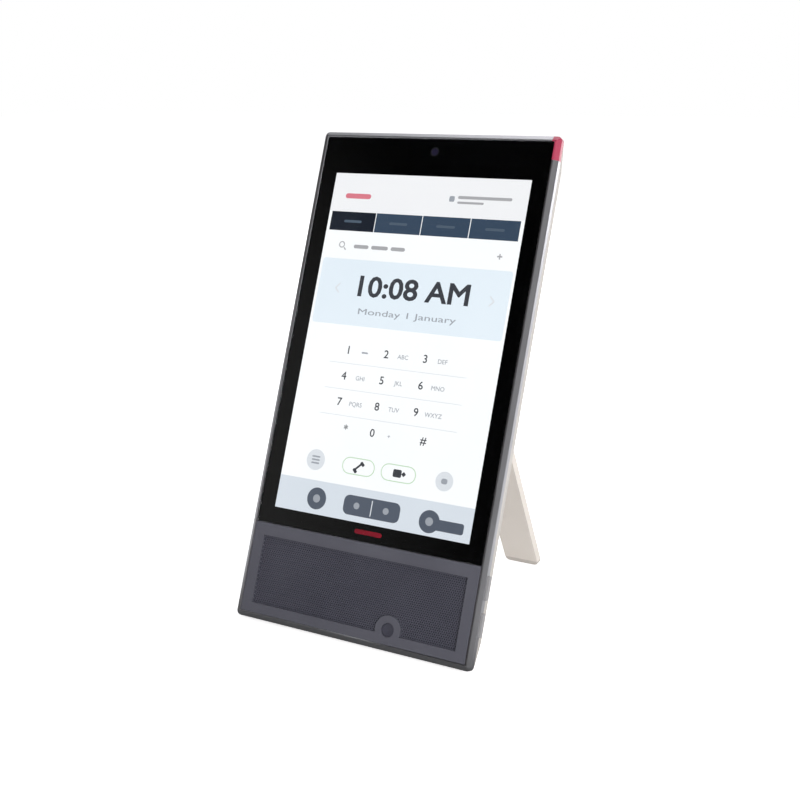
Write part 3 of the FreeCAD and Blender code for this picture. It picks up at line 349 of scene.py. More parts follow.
# %% [markdown]
# ## Finishes for the solids
# Every solid names a material slot in the record, so one table of finishes dresses them all, inside and
# out. A finish takes a lighter and a deeper tone, its smoothest and roughest gloss, the size of its grain
# and how deep the grain is. What is the same all over, such as metallic or the glow of the corner light,
# is set on the shader.

# %% Finish maker
MM_PER_METRE = 1000
BUMP_STRENGTH = 0.6


def grainy(name, tone, deeper, gloss, grain_mm=0.3, depth_mm=0.01, cloud_mm=30, **constants):
    """A material from the grain group. Constants are the shader's own sockets, with _ for a space."""
    material = bpy.data.materials.new(name)
    material.use_nodes = True
    tree = material.node_tree
    shader = tree.nodes["Principled BSDF"]
    surface = tree.nodes.new("ShaderNodeGroup")
    surface.node_tree = grain_group
    surface.inputs["Tone"].default_value = srgb(*tone)
    surface.inputs["Deeper Tone"].default_value = srgb(*deeper)
    surface.inputs["Grain Scale"].default_value = MM_PER_METRE / grain_mm
    surface.inputs["Cloud Scale"].default_value = MM_PER_METRE / cloud_mm
    surface.inputs["Smooth"].default_value, surface.inputs["Rough"].default_value = gloss
    bump = tree.nodes.new("ShaderNodeBump")
    bump.inputs["Strength"].default_value = BUMP_STRENGTH
    bump.inputs["Distance"].default_value = depth_mm * MM
    tree.links.new(surface.outputs["Color"], shader.inputs["Base Color"])
    tree.links.new(surface.outputs["Roughness"], shader.inputs["Roughness"])
    tree.links.new(surface.outputs["Height"], bump.inputs["Height"])
    tree.links.new(bump.outputs["Normal"], shader.inputs["Normal"])
    for label, value in constants.items():
        shader.inputs[label.replace("_", " ")].default_value = value
    return material


finishes = {
    "frame_metal": grainy("blasted_frame_metal", (186, 186, 191), (176, 176, 181), (0.38, 0.46),
                          grain_mm=0.18, depth_mm=0.006, Metallic=1.0),
    "border_black": grainy("black_border_print", (8, 8, 10), (5, 5, 6), (0.5, 0.6),
                           depth_mm=0.0, Specular_IOR_Level=0.0),
    "display_white": grainy("display_backing", (214, 218, 222), (202, 207, 212), (0.3, 0.4)),
    "sheet_metal": grainy("rolled_sheet_metal", (198, 200, 202), (176, 178, 180), (0.3, 0.45), Metallic=1.0),
    "screw_steel": grainy("zinc_plated_steel", (182, 182, 184), (150, 150, 152), (0.28, 0.42), Metallic=1.0),
    "board_green": grainy("solder_mask_green", (24, 96, 62), (14, 72, 46), (0.3, 0.45),
                          grain_mm=0.8, cloud_mm=6),
    "flex_amber": grainy("amber_film", (186, 122, 44), (160, 98, 30), (0.3, 0.4)),
    "plain_black": grainy("black_moulding", (38, 38, 40), (28, 28, 30), (0.45, 0.6)),
    "jack_shell": grainy("tinned_shell", (190, 192, 194), (164, 166, 168), (0.25, 0.4), Metallic=1.0),
    "thermal_grey": grainy("thermal_pad_grey", (150, 154, 160), (136, 140, 146), (0.7, 0.85)),
    "led_white": grainy("lamp_body", (236, 226, 208), (222, 210, 190), (0.3, 0.4)),
    "bezel_charcoal": grainy("charcoal_moulding", (90, 90, 99), (82, 82, 91), (0.42, 0.55),
                             grain_mm=0.35, depth_mm=0.012),
    "mesh_charcoal": grainy("charcoal_mesh_paint", (79, 79, 90), (71, 71, 82), (0.45, 0.6), grain_mm=0.2),
    "cloth_black": grainy("acoustic_cloth", (24, 24, 27), (14, 14, 16), (0.85, 0.95),
                          grain_mm=0.25, depth_mm=0.05),
    "gasket_foam": grainy("gasket_foam", (44, 44, 46), (32, 32, 34), (0.85, 0.95),
                          grain_mm=0.6, depth_mm=0.06),
    "basket_steel": grainy("stoved_black_steel", (58, 58, 60), (46, 46, 48), (0.4, 0.5), Metallic=0.6),
    "cone_paper": grainy("cone_paper", (64, 61, 58), (50, 48, 45), (0.8, 0.95), grain_mm=0.5, depth_mm=0.05),
    "magnet_ferrite": grainy("ferrite", (74, 74, 76), (60, 60, 62), (0.6, 0.75)),
    "button_dark": grainy("dark_button", (66, 66, 77), (58, 58, 68), (0.35, 0.5)),
    "side_button_grey": grainy("side_button_paint", (152, 151, 153), (142, 141, 143), (0.38, 0.48)),
    "cover_grey": grainy("cover_moulding", (200, 195, 190), (192, 187, 182), (0.5, 0.62),
                         grain_mm=0.5, depth_mm=0.02),
    "stand_grey": grainy("stand_paint", (222, 215, 208), (216, 209, 202), (0.45, 0.58), grain_mm=0.3),
    "foot_rubber": grainy("black_rubber", (52, 52, 53), (40, 40, 41), (0.75, 0.9),
                          grain_mm=0.6, depth_mm=0.03),
    "stand_foot_grey": grainy("pale_rubber", (198, 192, 186), (190, 184, 178), (0.65, 0.8), grain_mm=0.6),
    "washer_nylon": grainy("nylon", (214, 212, 206), (204, 202, 196), (0.4, 0.55)),
    "light_red": grainy("red_light_guide", (166, 60, 86), (154, 54, 78), (0.3, 0.4),
                        Emission_Color=srgb(214, 60, 90), Emission_Strength=0.06),
    # The lens's purple-blue tone is partly the tint of its coating and partly a painted glint.
    "lens_glass": grainy("coated_lens_painted_glint", (62, 56, 84), (50, 44, 70), (0.03, 0.06),
                         depth_mm=0.0, Coat_Weight=1.0),
    "cover_glass": grainy("toughened_glass", (250, 252, 252), (246, 249, 250), (0.0, 0.02),
                          depth_mm=0.0, cloud_mm=60, Transmission_Weight=1.0, IOR=1.45),
}
for subpart in frame["record"]["subparts"]:
    solid = nodes[subpart["node"]]
    solid.data.materials.clear()
    solid.data.materials.append(finishes[subpart["material_slot"]])
camera_black = grainy("camera_black", (34, 34, 40), (26, 26, 32), (0.5, 0.6), Specular_IOR_Level=0.2)
nodes["camera_module"].data.materials[0] = camera_black

# %% [markdown]
# ## Helpers for new pieces
# When a piece is done, its place is applied to its mesh, it gets its material, and it is told which
# body carries it.

# %% Piece helpers
SMOOTH_LIMIT = math.radians(35)
FULL_ROUND = 0.999


def deselect():
    """Leave nothing selected."""
    bpy.ops.object.select_all(action="DESELECT")


def pick(piece):
    """Make one piece the active one, with nothing else selected."""
    deselect()
    piece.select_set(True)
    bpy.context.view_layer.objects.active = piece


def apply_place(piece):
    """Put a piece's place, turn and scale into its mesh."""
    pick(piece)
    bpy.ops.object.transform_apply(location=True, rotation=True, scale=True)


def dress(piece, name, material, body="phone_body"):
    """Name a finished piece, give it a material, and let a body carry it."""
    piece.name = name
    piece.data.name = name
    piece.data.materials.clear()
    piece.data.materials.append(material)
    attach(piece, body)
    return piece


def shade(piece):
    """Smooth the rounds of the active piece and keep its flat faces flat, so that they mirror truly."""
    bpy.ops.object.shade_smooth_by_angle(angle=SMOOTH_LIMIT)
    even = piece.modifiers.new("flat_faces", "WEIGHTED_NORMAL")
    even.keep_sharp = True
    bpy.ops.object.modifier_apply(modifier=even.name)


def gather(pieces):
    """Join several pieces into one."""
    deselect()
    for piece in pieces:
        piece.select_set(True)
    bpy.context.view_layer.objects.active = pieces[0]
    if len(pieces) > 1:
        bpy.ops.object.join()
    return bpy.context.view_layer.objects.active


def select_parts(piece, kind, wanted):
    """In edit mode, select only the edges or the faces that a test picks."""
    bpy.ops.mesh.select_mode(type=kind)
    bpy.ops.mesh.select_all(action="DESELECT")
    mesh = bmesh.from_edit_mesh(piece.data)
    for part in mesh.edges if kind == "EDGE" else mesh.faces:
        part.select_set(wanted(part))
    bmesh.update_edit_mesh(piece.data)


def plate(x, y, width, height, corner=0.0, out=0.1, thick=0.02, turn=0.0, steps=5):
    """A thin plate with round corners that lies flat on the face, in millimetres."""
    def upright(edge):
        start, end = edge.verts
        return abs(start.co.z - end.co.z) > 0.5 * thick * MM

    deselect()
    spin = FACE @ Matrix.Rotation(math.radians(turn), 3, "Z")
    bpy.ops.mesh.primitive_cube_add(size=1, location=on_face(x, y, out), rotation=spin.to_euler(),
                                    scale=(width * MM, height * MM, thick * MM))
    piece = bpy.context.object
    bpy.ops.object.transform_apply(location=False, rotation=False, scale=True)
    if corner:
        bpy.ops.object.mode_set(mode="EDIT")
        select_parts(piece, "EDGE", upright)
        bpy.ops.mesh.bevel(offset=corner * MM, segments=steps, affect="EDGES", clamp_overlap=False)
        bpy.ops.object.mode_set(mode="OBJECT")
    apply_place(piece)
    return piece


def dot(x, y, radius, out=0.1):
    """A flat disc on the face: a square plate whose corners are as round as they can be."""
    return plate(x, y, 2 * radius, 2 * radius, FULL_ROUND * radius, out, steps=8)


print("helpers ready")

# %% [markdown]
# ## Cover glass
# The front is one sheet of toughened glass over the display and the black border print. Its edges are
# ground to a small round, which a bevel gives. The sheet stops a hair in front of the print, because two
# faces in the same place would fight over which of them is seen.

# %% Cover glass
GLASS_ROUND = 0.3
GLASS_GAP = 0.02
GLASS_CORNER = 0.6
glass_x, glass_y, glass_out = face_place("cover_glass")
glass_wide = extent("cover_glass", across)
glass_tall = extent("cover_glass", upward)
glass_thick = extent("cover_glass", outward)
glass = plate(glass_x, glass_y, glass_wide, glass_tall, GLASS_CORNER,
              glass_out + GLASS_GAP / 2, glass_thick - GLASS_GAP)
rounding = glass.modifiers.new("ground_edge", "BEVEL")
rounding.width = GLASS_ROUND * MM
rounding.segments = 3
bpy.ops.object.modifier_apply(modifier=rounding.name)
shade(glass)
dress(glass, "ground_cover_glass", finishes["cover_glass"])
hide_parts("cover_glass")
print("glass %.1f x %.1f x %.2f mm" % (glass_wide, glass_tall, glass_thick))

# %% [markdown]
# ## Lit display
# The picture on the display is light, not paint, so its pieces glow. Each is a thin plate or letter just
# in front of the panel, in layers a few hundredths of a millimetre apart. A faint backlight cloud keeps
# the white from being one flat value. The words and numbers are plain ones that any phone shows.

# %% Lit colours
GLOW = 1.15
UNLIT = (0.01, 0.01, 0.01, 1)
CLOUD_DIP = 0.985
PIXEL_MM = 0.2
BACKLIGHT_CLOUD_MM = 60


def lit(name, colour):
    """A glowing display colour, a little uneven as a backlight is."""
    material = bpy.data.materials.new(name)
    material.use_nodes = True
    tree = material.node_tree
    shader = tree.nodes["Principled BSDF"]
    shader.inputs["Base Color"].default_value = UNLIT
    shader.inputs["Roughness"].default_value = 0.5
    shader.inputs["Specular IOR Level"].default_value = 0.0
    shader.inputs["Emission Strength"].default_value = GLOW
    glow = tree.nodes.new("ShaderNodeGroup")
    glow.node_tree = grain_group
    glow.inputs["Tone"].default_value = srgb(*colour)
    glow.inputs["Deeper Tone"].default_value = srgb(*[CLOUD_DIP * value for value in colour])
    glow.inputs["Grain Scale"].default_value = MM_PER_METRE / PIXEL_MM
    glow.inputs["Cloud Scale"].default_value = MM_PER_METRE / BACKLIGHT_CLOUD_MM
    tree.links.new(glow.outputs["Color"], shader.inputs["Emission Color"])
    return material


lit_colours = {
    "page": lit("lit_page_white", (254, 254, 255)),
    "header": lit("lit_header_grey", (243, 242, 244)),
    "tab": lit("lit_tab_blue", (56, 72, 92)),
    "tab_chosen": lit("lit_tab_dark", (24, 30, 42)),
    "tab_label": lit("lit_tab_label", (78, 92, 108)),
    "band": lit("lit_clock_band", (231, 240, 248)),
    "ink": lit("lit_ink_dark", (62, 64, 70)),
    "soft_ink": lit("lit_ink_grey", (158, 162, 170)),
    "pale_ink": lit("lit_ink_pale", (170, 169, 172)),
    "faint": lit("lit_ink_faint", (222, 225, 230)),
    "green": lit("lit_green_line", (196, 222, 190)),
    "dock": lit("lit_dock_grey", (217, 223, 231)),
    "slate": lit("lit_slate", (84, 91, 104)),
    "accent": lit("lit_accent_rose", (218, 122, 136)),
}
print(len(lit_colours), "lit colours")

# %% Plates and letters of the display
LAYER = 0.03
FIRST_LAYER = 0.03
BAR_ROUND = 0.49
CAPITAL = 0.72
LETTER_DEPTH = 0.05
display = {colour: [] for colour in lit_colours}


def show(colour, *pieces):
    """Add pieces to the part of the display that has a colour."""
    display[colour].extend(pieces)


def lift(layer):
    """How far a layer lies in front of the panel, in millimetres."""
    return FIRST_LAYER + layer * LAYER


def bar(colour, left, right, y, height, layer, corner=None, turn=0.0):
    """A plate on the display from one x to another."""
    corner = BAR_ROUND * height if corner is None else corner
    show(colour, plate((left + right) / 2, y, right - left, height, corner, lift(layer), turn=turn, steps=4))


def words(colour, text, x, y, height, layer, weight=0.0, width=None):
    """Letters on the display, centred, with capitals of a height."""
    deselect()
    bpy.ops.object.text_add(location=on_face(x, y, lift(layer)), rotation=FACE_TURN)
    letters = bpy.context.object
    letters.data.body = text
    letters.data.align_x = "CENTER"
    letters.data.align_y = "CENTER"
    letters.data.resolution_u = 3
    letters.data.bevel_depth = weight
    letters.data.bevel_resolution = 0
    bpy.ops.object.convert(target="MESH")
    letters = bpy.context.object
    tall = height * MM / CAPITAL
    wide = tall if width is None else width * MM / letters.dimensions.x
    letters.scale = (wide, tall, LETTER_DEPTH * tall)
    apply_place(letters)
    show(colour, letters)


print(len(display), "colours to show")

# %% Page, header, tabs and search row
HALF_WIDE = screen_width / 2
HALF_TALL = screen_height / 2
bar("page", -HALF_WIDE, HALF_WIDE, 0, screen_height, 0, corner=0)
HEADER_LOW = 66.4
bar("header", -HALF_WIDE, HALF_WIDE, (HALF_TALL + HEADER_LOW) / 2, HALF_TALL - HEADER_LOW, 1, corner=0)
bar("accent", -46, -31.2, 74.4, 2.6, 2)
bar("soft_ink", 12.4, 15.2, 75.3, 2.8, 2, corner=0.6)
bar("pale_ink", 17, 45.4, 76.2, 1.5, 2)
bar("pale_ink", 17, 31, 73.6, 1.1, 2)

TAB_WIDE = 26.1
TAB_MIDDLE = 61.3
TAB_TALL = 9.8
TAB_SEAM = 0.4
LABEL_INSET = 8
for number in range(4):
    left = (number - 2) * TAB_WIDE
    tab_colour = "tab" if number else "tab_chosen"
    bar(tab_colour, left, left + TAB_WIDE - TAB_SEAM, TAB_MIDDLE, TAB_TALL, 1, corner=0)
    bar("tab_label", left + LABEL_INSET, left + TAB_WIDE - LABEL_INSET, TAB_MIDDLE, 1.3, 2)

SEARCH_Y = 48.6
WORD_GAP = 1.6
for colour, radius, layer in (("pale_ink", 1.7, 1), ("page", 1.15, 2)):
    show(colour, dot(-43, SEARCH_Y + 0.6, radius, lift(layer)))
bar("pale_ink", -41.9, -40.1, SEARCH_Y - 1.4, 0.6, 1, turn=-45)
word_left = -36.0
for length in (8.5, 9.5, 8.0):
    bar("pale_ink", word_left, word_left + length, SEARCH_Y, 1.9, 1)
    word_left += length + WORD_GAP
for turn in (0, 90):
    bar("pale_ink", 42.6, 45.4, SEARCH_Y, 0.7, 1, turn=turn)
plates = sum(len(pieces) for pieces in display.values())
print("page", round(screen_width), "mm wide with", plates, "plates so far")

# %% Clock band
BAND_HIGH = 42.0
BAND_LOW = 8.7
BAND_INSET = 1.5
ARROW_Y = 27
ARROW_HALF = 1.8
ARROW_RISE = 1.1
band_tall = BAND_HIGH - BAND_LOW
bar("band", -HALF_WIDE + BAND_INSET, HALF_WIDE - BAND_INSET, (BAND_HIGH + BAND_LOW) / 2, band_tall, 1,
    corner=BAND_INSET)
words("ink", "10:08 AM", 0.5, 28.3, 10.4, 2, weight=0.022, width=61)
words("soft_ink", "Monday 1 January", 0, 16.0, 3.0, 2, weight=0.004, width=54)
for x, tilt in ((-41, 1), (44, -1)):
    for half in (1, -1):
        y = ARROW_Y + half * ARROW_RISE
        bar("faint", x - ARROW_HALF, x + ARROW_HALF, y, 0.7, 2, turn=half * 45 * tilt)
print("clock band %.1f mm tall" % band_tall)

# %% Dial pad
KEY_TOP = -3.8
KEY_PITCH = 12.95
KEY_LEFT = -28.0
COLUMN_PITCH = 21.4
DIGIT_TALL = 4.0
LETTER_STEP = 9.3
LETTER_DROP = 0.4
LETTER_TALL = 2.2
DASH_HALF = 1.8
LINE_INSET = 16
SIGN_SPOTS = {"*": -21.7, "#": 21.3}
letters_of = {"1": "", "2": "ABC", "3": "DEF", "4": "GHI", "5": "JKL", "6": "MNO", "7": "PQRS", "8": "TUV",
              "9": "WXYZ", "*": "", "0": "+", "#": ""}
for number, (digit, small) in enumerate(letters_of.items()):
    row, column = divmod(number, 3)
    x = SIGN_SPOTS.get(digit, KEY_LEFT + column * COLUMN_PITCH)
    y = KEY_TOP - row * KEY_PITCH
    words("ink", digit, x, y, DIGIT_TALL, 1, weight=0.012)
    if small:
        words("soft_ink", small, x + LETTER_STEP, y - LETTER_DROP, LETTER_TALL, 1, weight=0.008)
    elif digit == "1":
        middle = x + LETTER_STEP
        bar("soft_ink", middle - DASH_HALF, middle + DASH_HALF, y - LETTER_DROP, 0.8, 1)
for row in range(3):
    y = KEY_TOP - (row + 0.5) * KEY_PITCH
    bar("faint", -HALF_WIDE + LINE_INSET, HALF_WIDE - LINE_INSET, y, 0.3, 1, corner=0)
print(len(letters_of), "keys")

# %% Call row and dock
CALL_Y = -59.7
PILL_RIM = 0.5
RECEIVER_X = -10.9
EAR_STEP = 1.8
EAR_SHIFT = 0.3
show("faint", dot(-35.3, CALL_Y, 5.2, lift(1)), dot(35.8, CALL_Y, 4.6, lift(1)))
for row in (-1, 0, 1):
    bar("soft_ink", -37.6, -33.0, CALL_Y + 1.6 * row, 0.8, 2)
bar("soft_ink", 34.2, 37.4, CALL_Y, 2.6, 2, corner=1.0)
for left, right in ((-20, -1.7), (1.7, 20.8)):
    bar("green", left, right, CALL_Y, 8.4, 1)
    bar("page", left + PILL_RIM, right - PILL_RIM, CALL_Y, 7.4, 2)
bar("ink", -13.4, -8.4, CALL_Y, 1.0, 3, turn=45)
for step in (-1, 1):
    x = RECEIVER_X + EAR_STEP * step + EAR_SHIFT
    y = CALL_Y + EAR_STEP * step - EAR_SHIFT
    show("ink", plate(x, y, 2.6, 1.6, 0.6, lift(3), turn=-45))
bar("ink", 8.4, 13.0, CALL_Y, 3.8, 3, corner=0.8)
show("ink", plate(14.2, CALL_Y, 1.8, 1.8, 0.2, lift(3), turn=45))

DOCK_HIGH = -69.7
DOCK_Y = -78.4
ROUND_KEYS = ((-30.8, DOCK_Y), (31.7, DOCK_Y - 0.9))
bar("dock", -HALF_WIDE, HALF_WIDE, (DOCK_HIGH - HALF_TALL) / 2, HALF_TALL + DOCK_HIGH, 1, corner=0)
for x, y in ROUND_KEYS:
    show("slate", dot(x, y, 5.4, lift(2)))
bar("slate", -15.3, 15.8, DOCK_Y, 9.6, 2, corner=3.0)
bar("slate", 34.0, 49.7, DOCK_Y - 1.8, 5.2, 2, corner=1.2)
bar("faint", 0.0, 0.5, DOCK_Y, 7.6, 3, corner=0)
for x in (-8.0, 8.2):
    show("soft_ink", dot(x, DOCK_Y, 1.6, lift(3)))
for x, y in ROUND_KEYS:
    show("soft_ink", dot(x, y, 2.0, lift(3)))
print("dock %.1f mm tall" % (DOCK_HIGH + HALF_TALL))

# %% Join the display by colour
for colour, pieces in display.items():
    dress(gather(pieces), "display_" + colour, lit_colours[colour])
print(len(display), "display pieces")

# %% [markdown]
# ## Speaker mesh
# The speaker is behind a sheet of fine punched mesh. Real holes look right from every side, and they must
# be cheap, because there are many: one six-sided tile with a hole is inset from a circle, a second row is
# set off by half a tile, and two arrays repeat the pair. The sheet is then trimmed to the solid's outline
# and given its thickness.

# %% Speaker mesh
TILE = 0.68
HOLE_INSET = 0.24
BOSS_RADIUS = 6.7
BOSS_OVERLAP = 0.3
SAME_CORNER = 0.01
mesh_x, mesh_y, mesh_out = face_place("speaker_mesh")
mesh_wide = extent("speaker_mesh", across)
mesh_tall = extent("speaker_mesh", upward)
mesh_thick = extent("speaker_mesh", outward)
boss_x, boss_y = face_place("round_button")[:2]
tile_wide = math.sqrt(3) * TILE
row_step = 1.5 * TILE

deselect()
bpy.ops.mesh.primitive_circle_add(vertices=6, radius=TILE * MM, fill_type="NGON")
sheet = bpy.context.object
bpy.ops.object.mode_set(mode="EDIT")
bpy.ops.mesh.select_all(action="SELECT")
bpy.ops.mesh.inset(thickness=HOLE_INSET * MM)
bpy.ops.mesh.delete(type="FACE")
bpy.ops.mesh.select_all(action="SELECT")
bpy.ops.mesh.duplicate()
bpy.ops.transform.translate(value=(tile_wide / 2 * MM, row_step * MM, 0))
bpy.ops.object.mode_set(mode="OBJECT")
columns = math.ceil(mesh_wide / tile_wide) + 2
pairs = math.ceil(mesh_tall / (2 * row_step)) + 1
for label, count, step in (("columns", columns, (tile_wide * MM, 0, 0)),
                           ("rows", pairs, (0, 2 * row_step * MM, 0))):
    repeat = sheet.modifiers.new(label, "ARRAY")
    repeat.use_relative_offset = False
    repeat.use_constant_offset = True
    repeat.constant_offset_displace = step
    repeat.count = count
    bpy.ops.object.modifier_apply(modifier=repeat.name)
print(columns, "x", 2 * pairs, "tiles")

# %% Trim the mesh and set it in its bezel
bpy.ops.object.mode_set(mode="EDIT")
bpy.ops.mesh.select_all(action="SELECT")
bpy.ops.mesh.remove_doubles(threshold=SAME_CORNER * MM)
middle = Vector(((columns - 0.5) * tile_wide / 2, (2 * pairs - 1) * row_step / 2, 0)) * MM
bpy.ops.transform.translate(value=-middle)
for way, half in ((Vector((1, 0, 0)), mesh_wide / 2), (Vector((0, 1, 0)), mesh_tall / 2)):
    for side in (-1, 1):
        bpy.ops.mesh.select_all(action="SELECT")
        bpy.ops.mesh.bisect(plane_co=side * half * MM * way, plane_no=side * way, clear_outer=True)
boss_spot = Vector((boss_x - mesh_x, boss_y - mesh_y, 0)) * MM
boss_reach = (BOSS_RADIUS - BOSS_OVERLAP) * MM
select_parts(sheet, "FACE", lambda face: (face.calc_center_median() - boss_spot).length < boss_reach)
bpy.ops.mesh.delete(type="FACE")
bpy.ops.object.mode_set(mode="OBJECT")
thickness = sheet.modifiers.new("thickness", "SOLIDIFY")
thickness.thickness = mesh_thick * MM
thickness.offset = 0
bpy.ops.object.modifier_apply(modifier=thickness.name)
sheet.location = on_face(mesh_x, mesh_y, mesh_out)
sheet.rotation_euler = FACE_TURN
apply_place(sheet)
dress(sheet, "punched_speaker_mesh", finishes["mesh_charcoal"])
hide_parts("speaker_mesh")
print("speaker mesh", len(sheet.data.polygons), "faces")

# %% [markdown]
# ## A red bar on the border
# Below the display the border print has one small red mark. Here it is a plain rounded bar, printed on
# the back of the glass, so it sits just in front of the black film.

# %% Red bar
MARK_PLACE = (1.0, -90.2)
MARK_SIZE = (15.0, 2.2)
MARK_CORNER = 1.0
MARK_LIFT = 0.005
MARK_THICK = 0.006
film_front = (reach("border_film", outward)[1] - panel_front) / MM
mark = plate(*MARK_PLACE, *MARK_SIZE, MARK_CORNER, film_front + MARK_LIFT, MARK_THICK)
mark_red = grainy("red_border_print", (190, 36, 60), (172, 29, 51), (0.5, 0.6),
                  depth_mm=0.0, Specular_IOR_Level=0.0)
dress(mark, "red_border_bar", mark_red)
print("bar", [round(value / MM, 1) for value in mark.dimensions], "mm")

# %% [markdown]
# ## Softer edges on the solids
# No moulded, painted or cast edge is perfectly sharp: a small round catches the light and makes a piece
# look real. A solid arrives as loose triangles, so a copy is first merged into whole faces, and a bevel
# then rounds every edge that turns by more than a limit. The copy takes the solid's place.

# %% Edge rounding
SHARP = math.radians(30)
SAME_FACE = math.radians(0.5)
SAME_POINT = 0.001
body_of = {node: body for body, members in frame["record"]["behaviour"]["bodies"].items() for node in members}
slot_of = {subpart["node"]: subpart["material_slot"] for subpart in frame["record"]["subparts"]}


def whole_copy(node):
    """A copy of a solid with its loose triangles merged into whole faces, left selected and active."""
    copy = bpy.data.objects.new(node + "_soft", nodes[node].data.copy())
    bpy.context.collection.objects.link(copy)
    pick(copy)
    bpy.ops.object.mode_set(mode="EDIT")
    bpy.ops.mesh.select_all(action="SELECT")
    bpy.ops.mesh.remove_doubles(threshold=SAME_POINT * MM)
    bpy.ops.mesh.dissolve_limited(angle_limit=SAME_FACE)
    bpy.ops.object.mode_set(mode="OBJECT")
    return copy


def finish_soft(piece, node):
    """Shade a softened copy and let it stand for its solid."""
    shade(piece)
    dress(piece, node + "_soft", finishes[slot_of[node]], body_of[node])
    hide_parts(node)
    print(piece.name, len(piece.data.polygons), "faces")


def softened(node, width):
    """A solid's copy with its edges rounded by a width in millimetres, in the solid's place."""
    piece = whole_copy(node)
    rounding = piece.modifiers.new("soft_edge", "BEVEL")
    rounding.width = width * MM
    rounding.segments = 2
    rounding.limit_method = "ANGLE"
    rounding.angle_limit = SHARP
    bpy.ops.object.modifier_apply(modifier=rounding.name)
    finish_soft(piece, node)


for node, width in (("stand", 0.5), ("stand_feet", 0.5), ("base_feet", 0.5), ("side_button_upper", 0.3),
                    ("side_button_lower", 0.3), ("round_button", 0.2), ("speaker_bezel", 0.15)):
    softened(node, width)

# %% [markdown]
# ## Bevel, seam and rear openings
# The frame is cast with a wide bevel around its front, and the blasting leaves the bevel's edges softly
# round. Where the frame meets the rear cover, both outlines are broken by a hair, which draws the fine
# seam of a real casing. The openings in the back have a moulded round too. A bevel on every edge would
# spoil the small pockets inside, so only sharp edges at a known depth are rounded. The corner light
# continues the frame, so it gets the same rounds. A flat face with holes is one outline with cuts from
# hole to hole, and a bevel can push those cuts across each other, so the frame's front and the cover's
# back are deleted afterwards and filled anew.

# %% Round edges by depth
SAME_LEVEL = 0.02
FLAT = math.cos(math.radians(0.05))
BEVEL_DROP = 1.6
BEVEL_ROUND = 0.35
SEAM_ROUND = 0.2
OPENING_ROUND = 0.3
BEVEL_BAND = 2.5
OUTLINE_BAND = 1.0
frame_left, frame_right = reach("front_frame", across)
frame_low, frame_high = reach("front_frame", upward)
frame_back, frame_front = reach("front_frame", outward)
cover_back = reach("rear_cover", outward)[0]
seam_depth = (frame_front - frame_back) / MM
back_depth = (frame_front - cover_back) / MM


def depth_of(spot):
    """How far a point lies behind the frame's front, in millimetres."""
    return (frame_front - spot.dot(outward)) / MM


def round_edges(piece, depth, width, band=None):
    """Round the sharp edges at a depth behind the front, or only those within a band of the outline."""
    def in_reach(spot):
        margin = min(spot.dot(across) - frame_left, frame_right - spot.dot(across),
                     spot.dot(upward) - frame_low, frame_high - spot.dot(upward)) / MM
        return abs(depth_of(spot) - depth) < SAME_LEVEL and (band is None or margin < band)

    def chosen(edge):
        return edge.calc_face_angle(0) > SHARP and all(in_reach(corner.co) for corner in edge.verts)

    bpy.ops.object.mode_set(mode="EDIT")
    select_parts(piece, "EDGE", chosen)
    bpy.ops.mesh.bevel(offset=width * MM, segments=3, affect="EDGES", clamp_overlap=False)
    bpy.ops.object.mode_set(mode="OBJECT")


def refill_flat(piece, depth, facing):
    """Fill the flat face at a depth anew, from its outline and the rims of its openings."""
    def on_flat(face):
        level = depth_of(face.calc_center_median())
        return face.normal.dot(facing) > FLAT and abs(level - depth) < SAME_POINT

    bpy.ops.object.mode_set(mode="EDIT")
    select_parts(piece, "FACE", on_flat)
    bpy.ops.mesh.delete(type="FACE")
    select_parts(piece, "EDGE", lambda edge: edge.is_boundary)
    bpy.ops.mesh.fill(use_beauty=True)
    mesh = bmesh.from_edit_mesh(piece.data)
    filled = [face for face in mesh.faces if face.select]
    print(piece.name, "filled with", len(filled), "faces")
    if filled[0].normal.dot(facing) < 0:
        bpy.ops.mesh.flip_normals()
    bpy.ops.mesh.select_all(action="SELECT")
    bpy.ops.mesh.remove_doubles(threshold=SAME_POINT * MM)
    bpy.ops.object.mode_set(mode="OBJECT")


# %% Frame, corner light and rear cover
for node in ("front_frame", "light_pipe"):
    piece = whole_copy(node)
    round_edges(piece, 0.0, BEVEL_ROUND, BEVEL_BAND)
    round_edges(piece, BEVEL_DROP, BEVEL_ROUND, OUTLINE_BAND)
    round_edges(piece, seam_depth, SEAM_ROUND, OUTLINE_BAND)
    refill_flat(piece, 0.0, outward)
    finish_soft(piece, node)
cover = whole_copy("rear_cover")
round_edges(cover, seam_depth, SEAM_ROUND, OUTLINE_BAND)
round_edges(cover, back_depth, OPENING_ROUND)
refill_flat(cover, back_depth, inward)
finish_soft(cover, "rear_cover")

# %% [markdown]
# ## Cover screws
# Four screws hold the rear cover, each with a round head sunk in a bore and a hexagon socket for the key.
# One screw is turned from a cylinder: its lower face is inset and extruded into the shank, its top edge
# is rounded, and a six-sided cutter makes the socket. Copies then go where the four solids are.

# %% One screw
HEAD_RADIUS = 2.5
HEAD_HEIGHT = 2.0
SHANK_RADIUS = 1.2
HEAD_ROUND = 0.5
SOCKET_RADIUS = 1.35
SOCKET_DEPTH = 1.2
TOP_SLACK = 0.01
FACING = 0.9
shank_length = extent("cover_screws", inward) - HEAD_HEIGHT
deselect()
bpy.ops.mesh.primitive_cylinder_add(vertices=24, radius=HEAD_RADIUS * MM, depth=HEAD_HEIGHT * MM,
                                    location=(0, 0, -HEAD_HEIGHT / 2 * MM))
screw = bpy.context.object
bpy.ops.object.transform_apply(location=True, rotation=False, scale=False)
bpy.ops.object.mode_set(mode="EDIT")
select_parts(screw, "FACE", lambda face: face.normal.z < -FACING)
bpy.ops.mesh.inset(thickness=(HEAD_RADIUS - SHANK_RADIUS) * MM)
bpy.ops.mesh.extrude_region_move(TRANSFORM_OT_translate={"value": (0, 0, -shank_length * MM)})
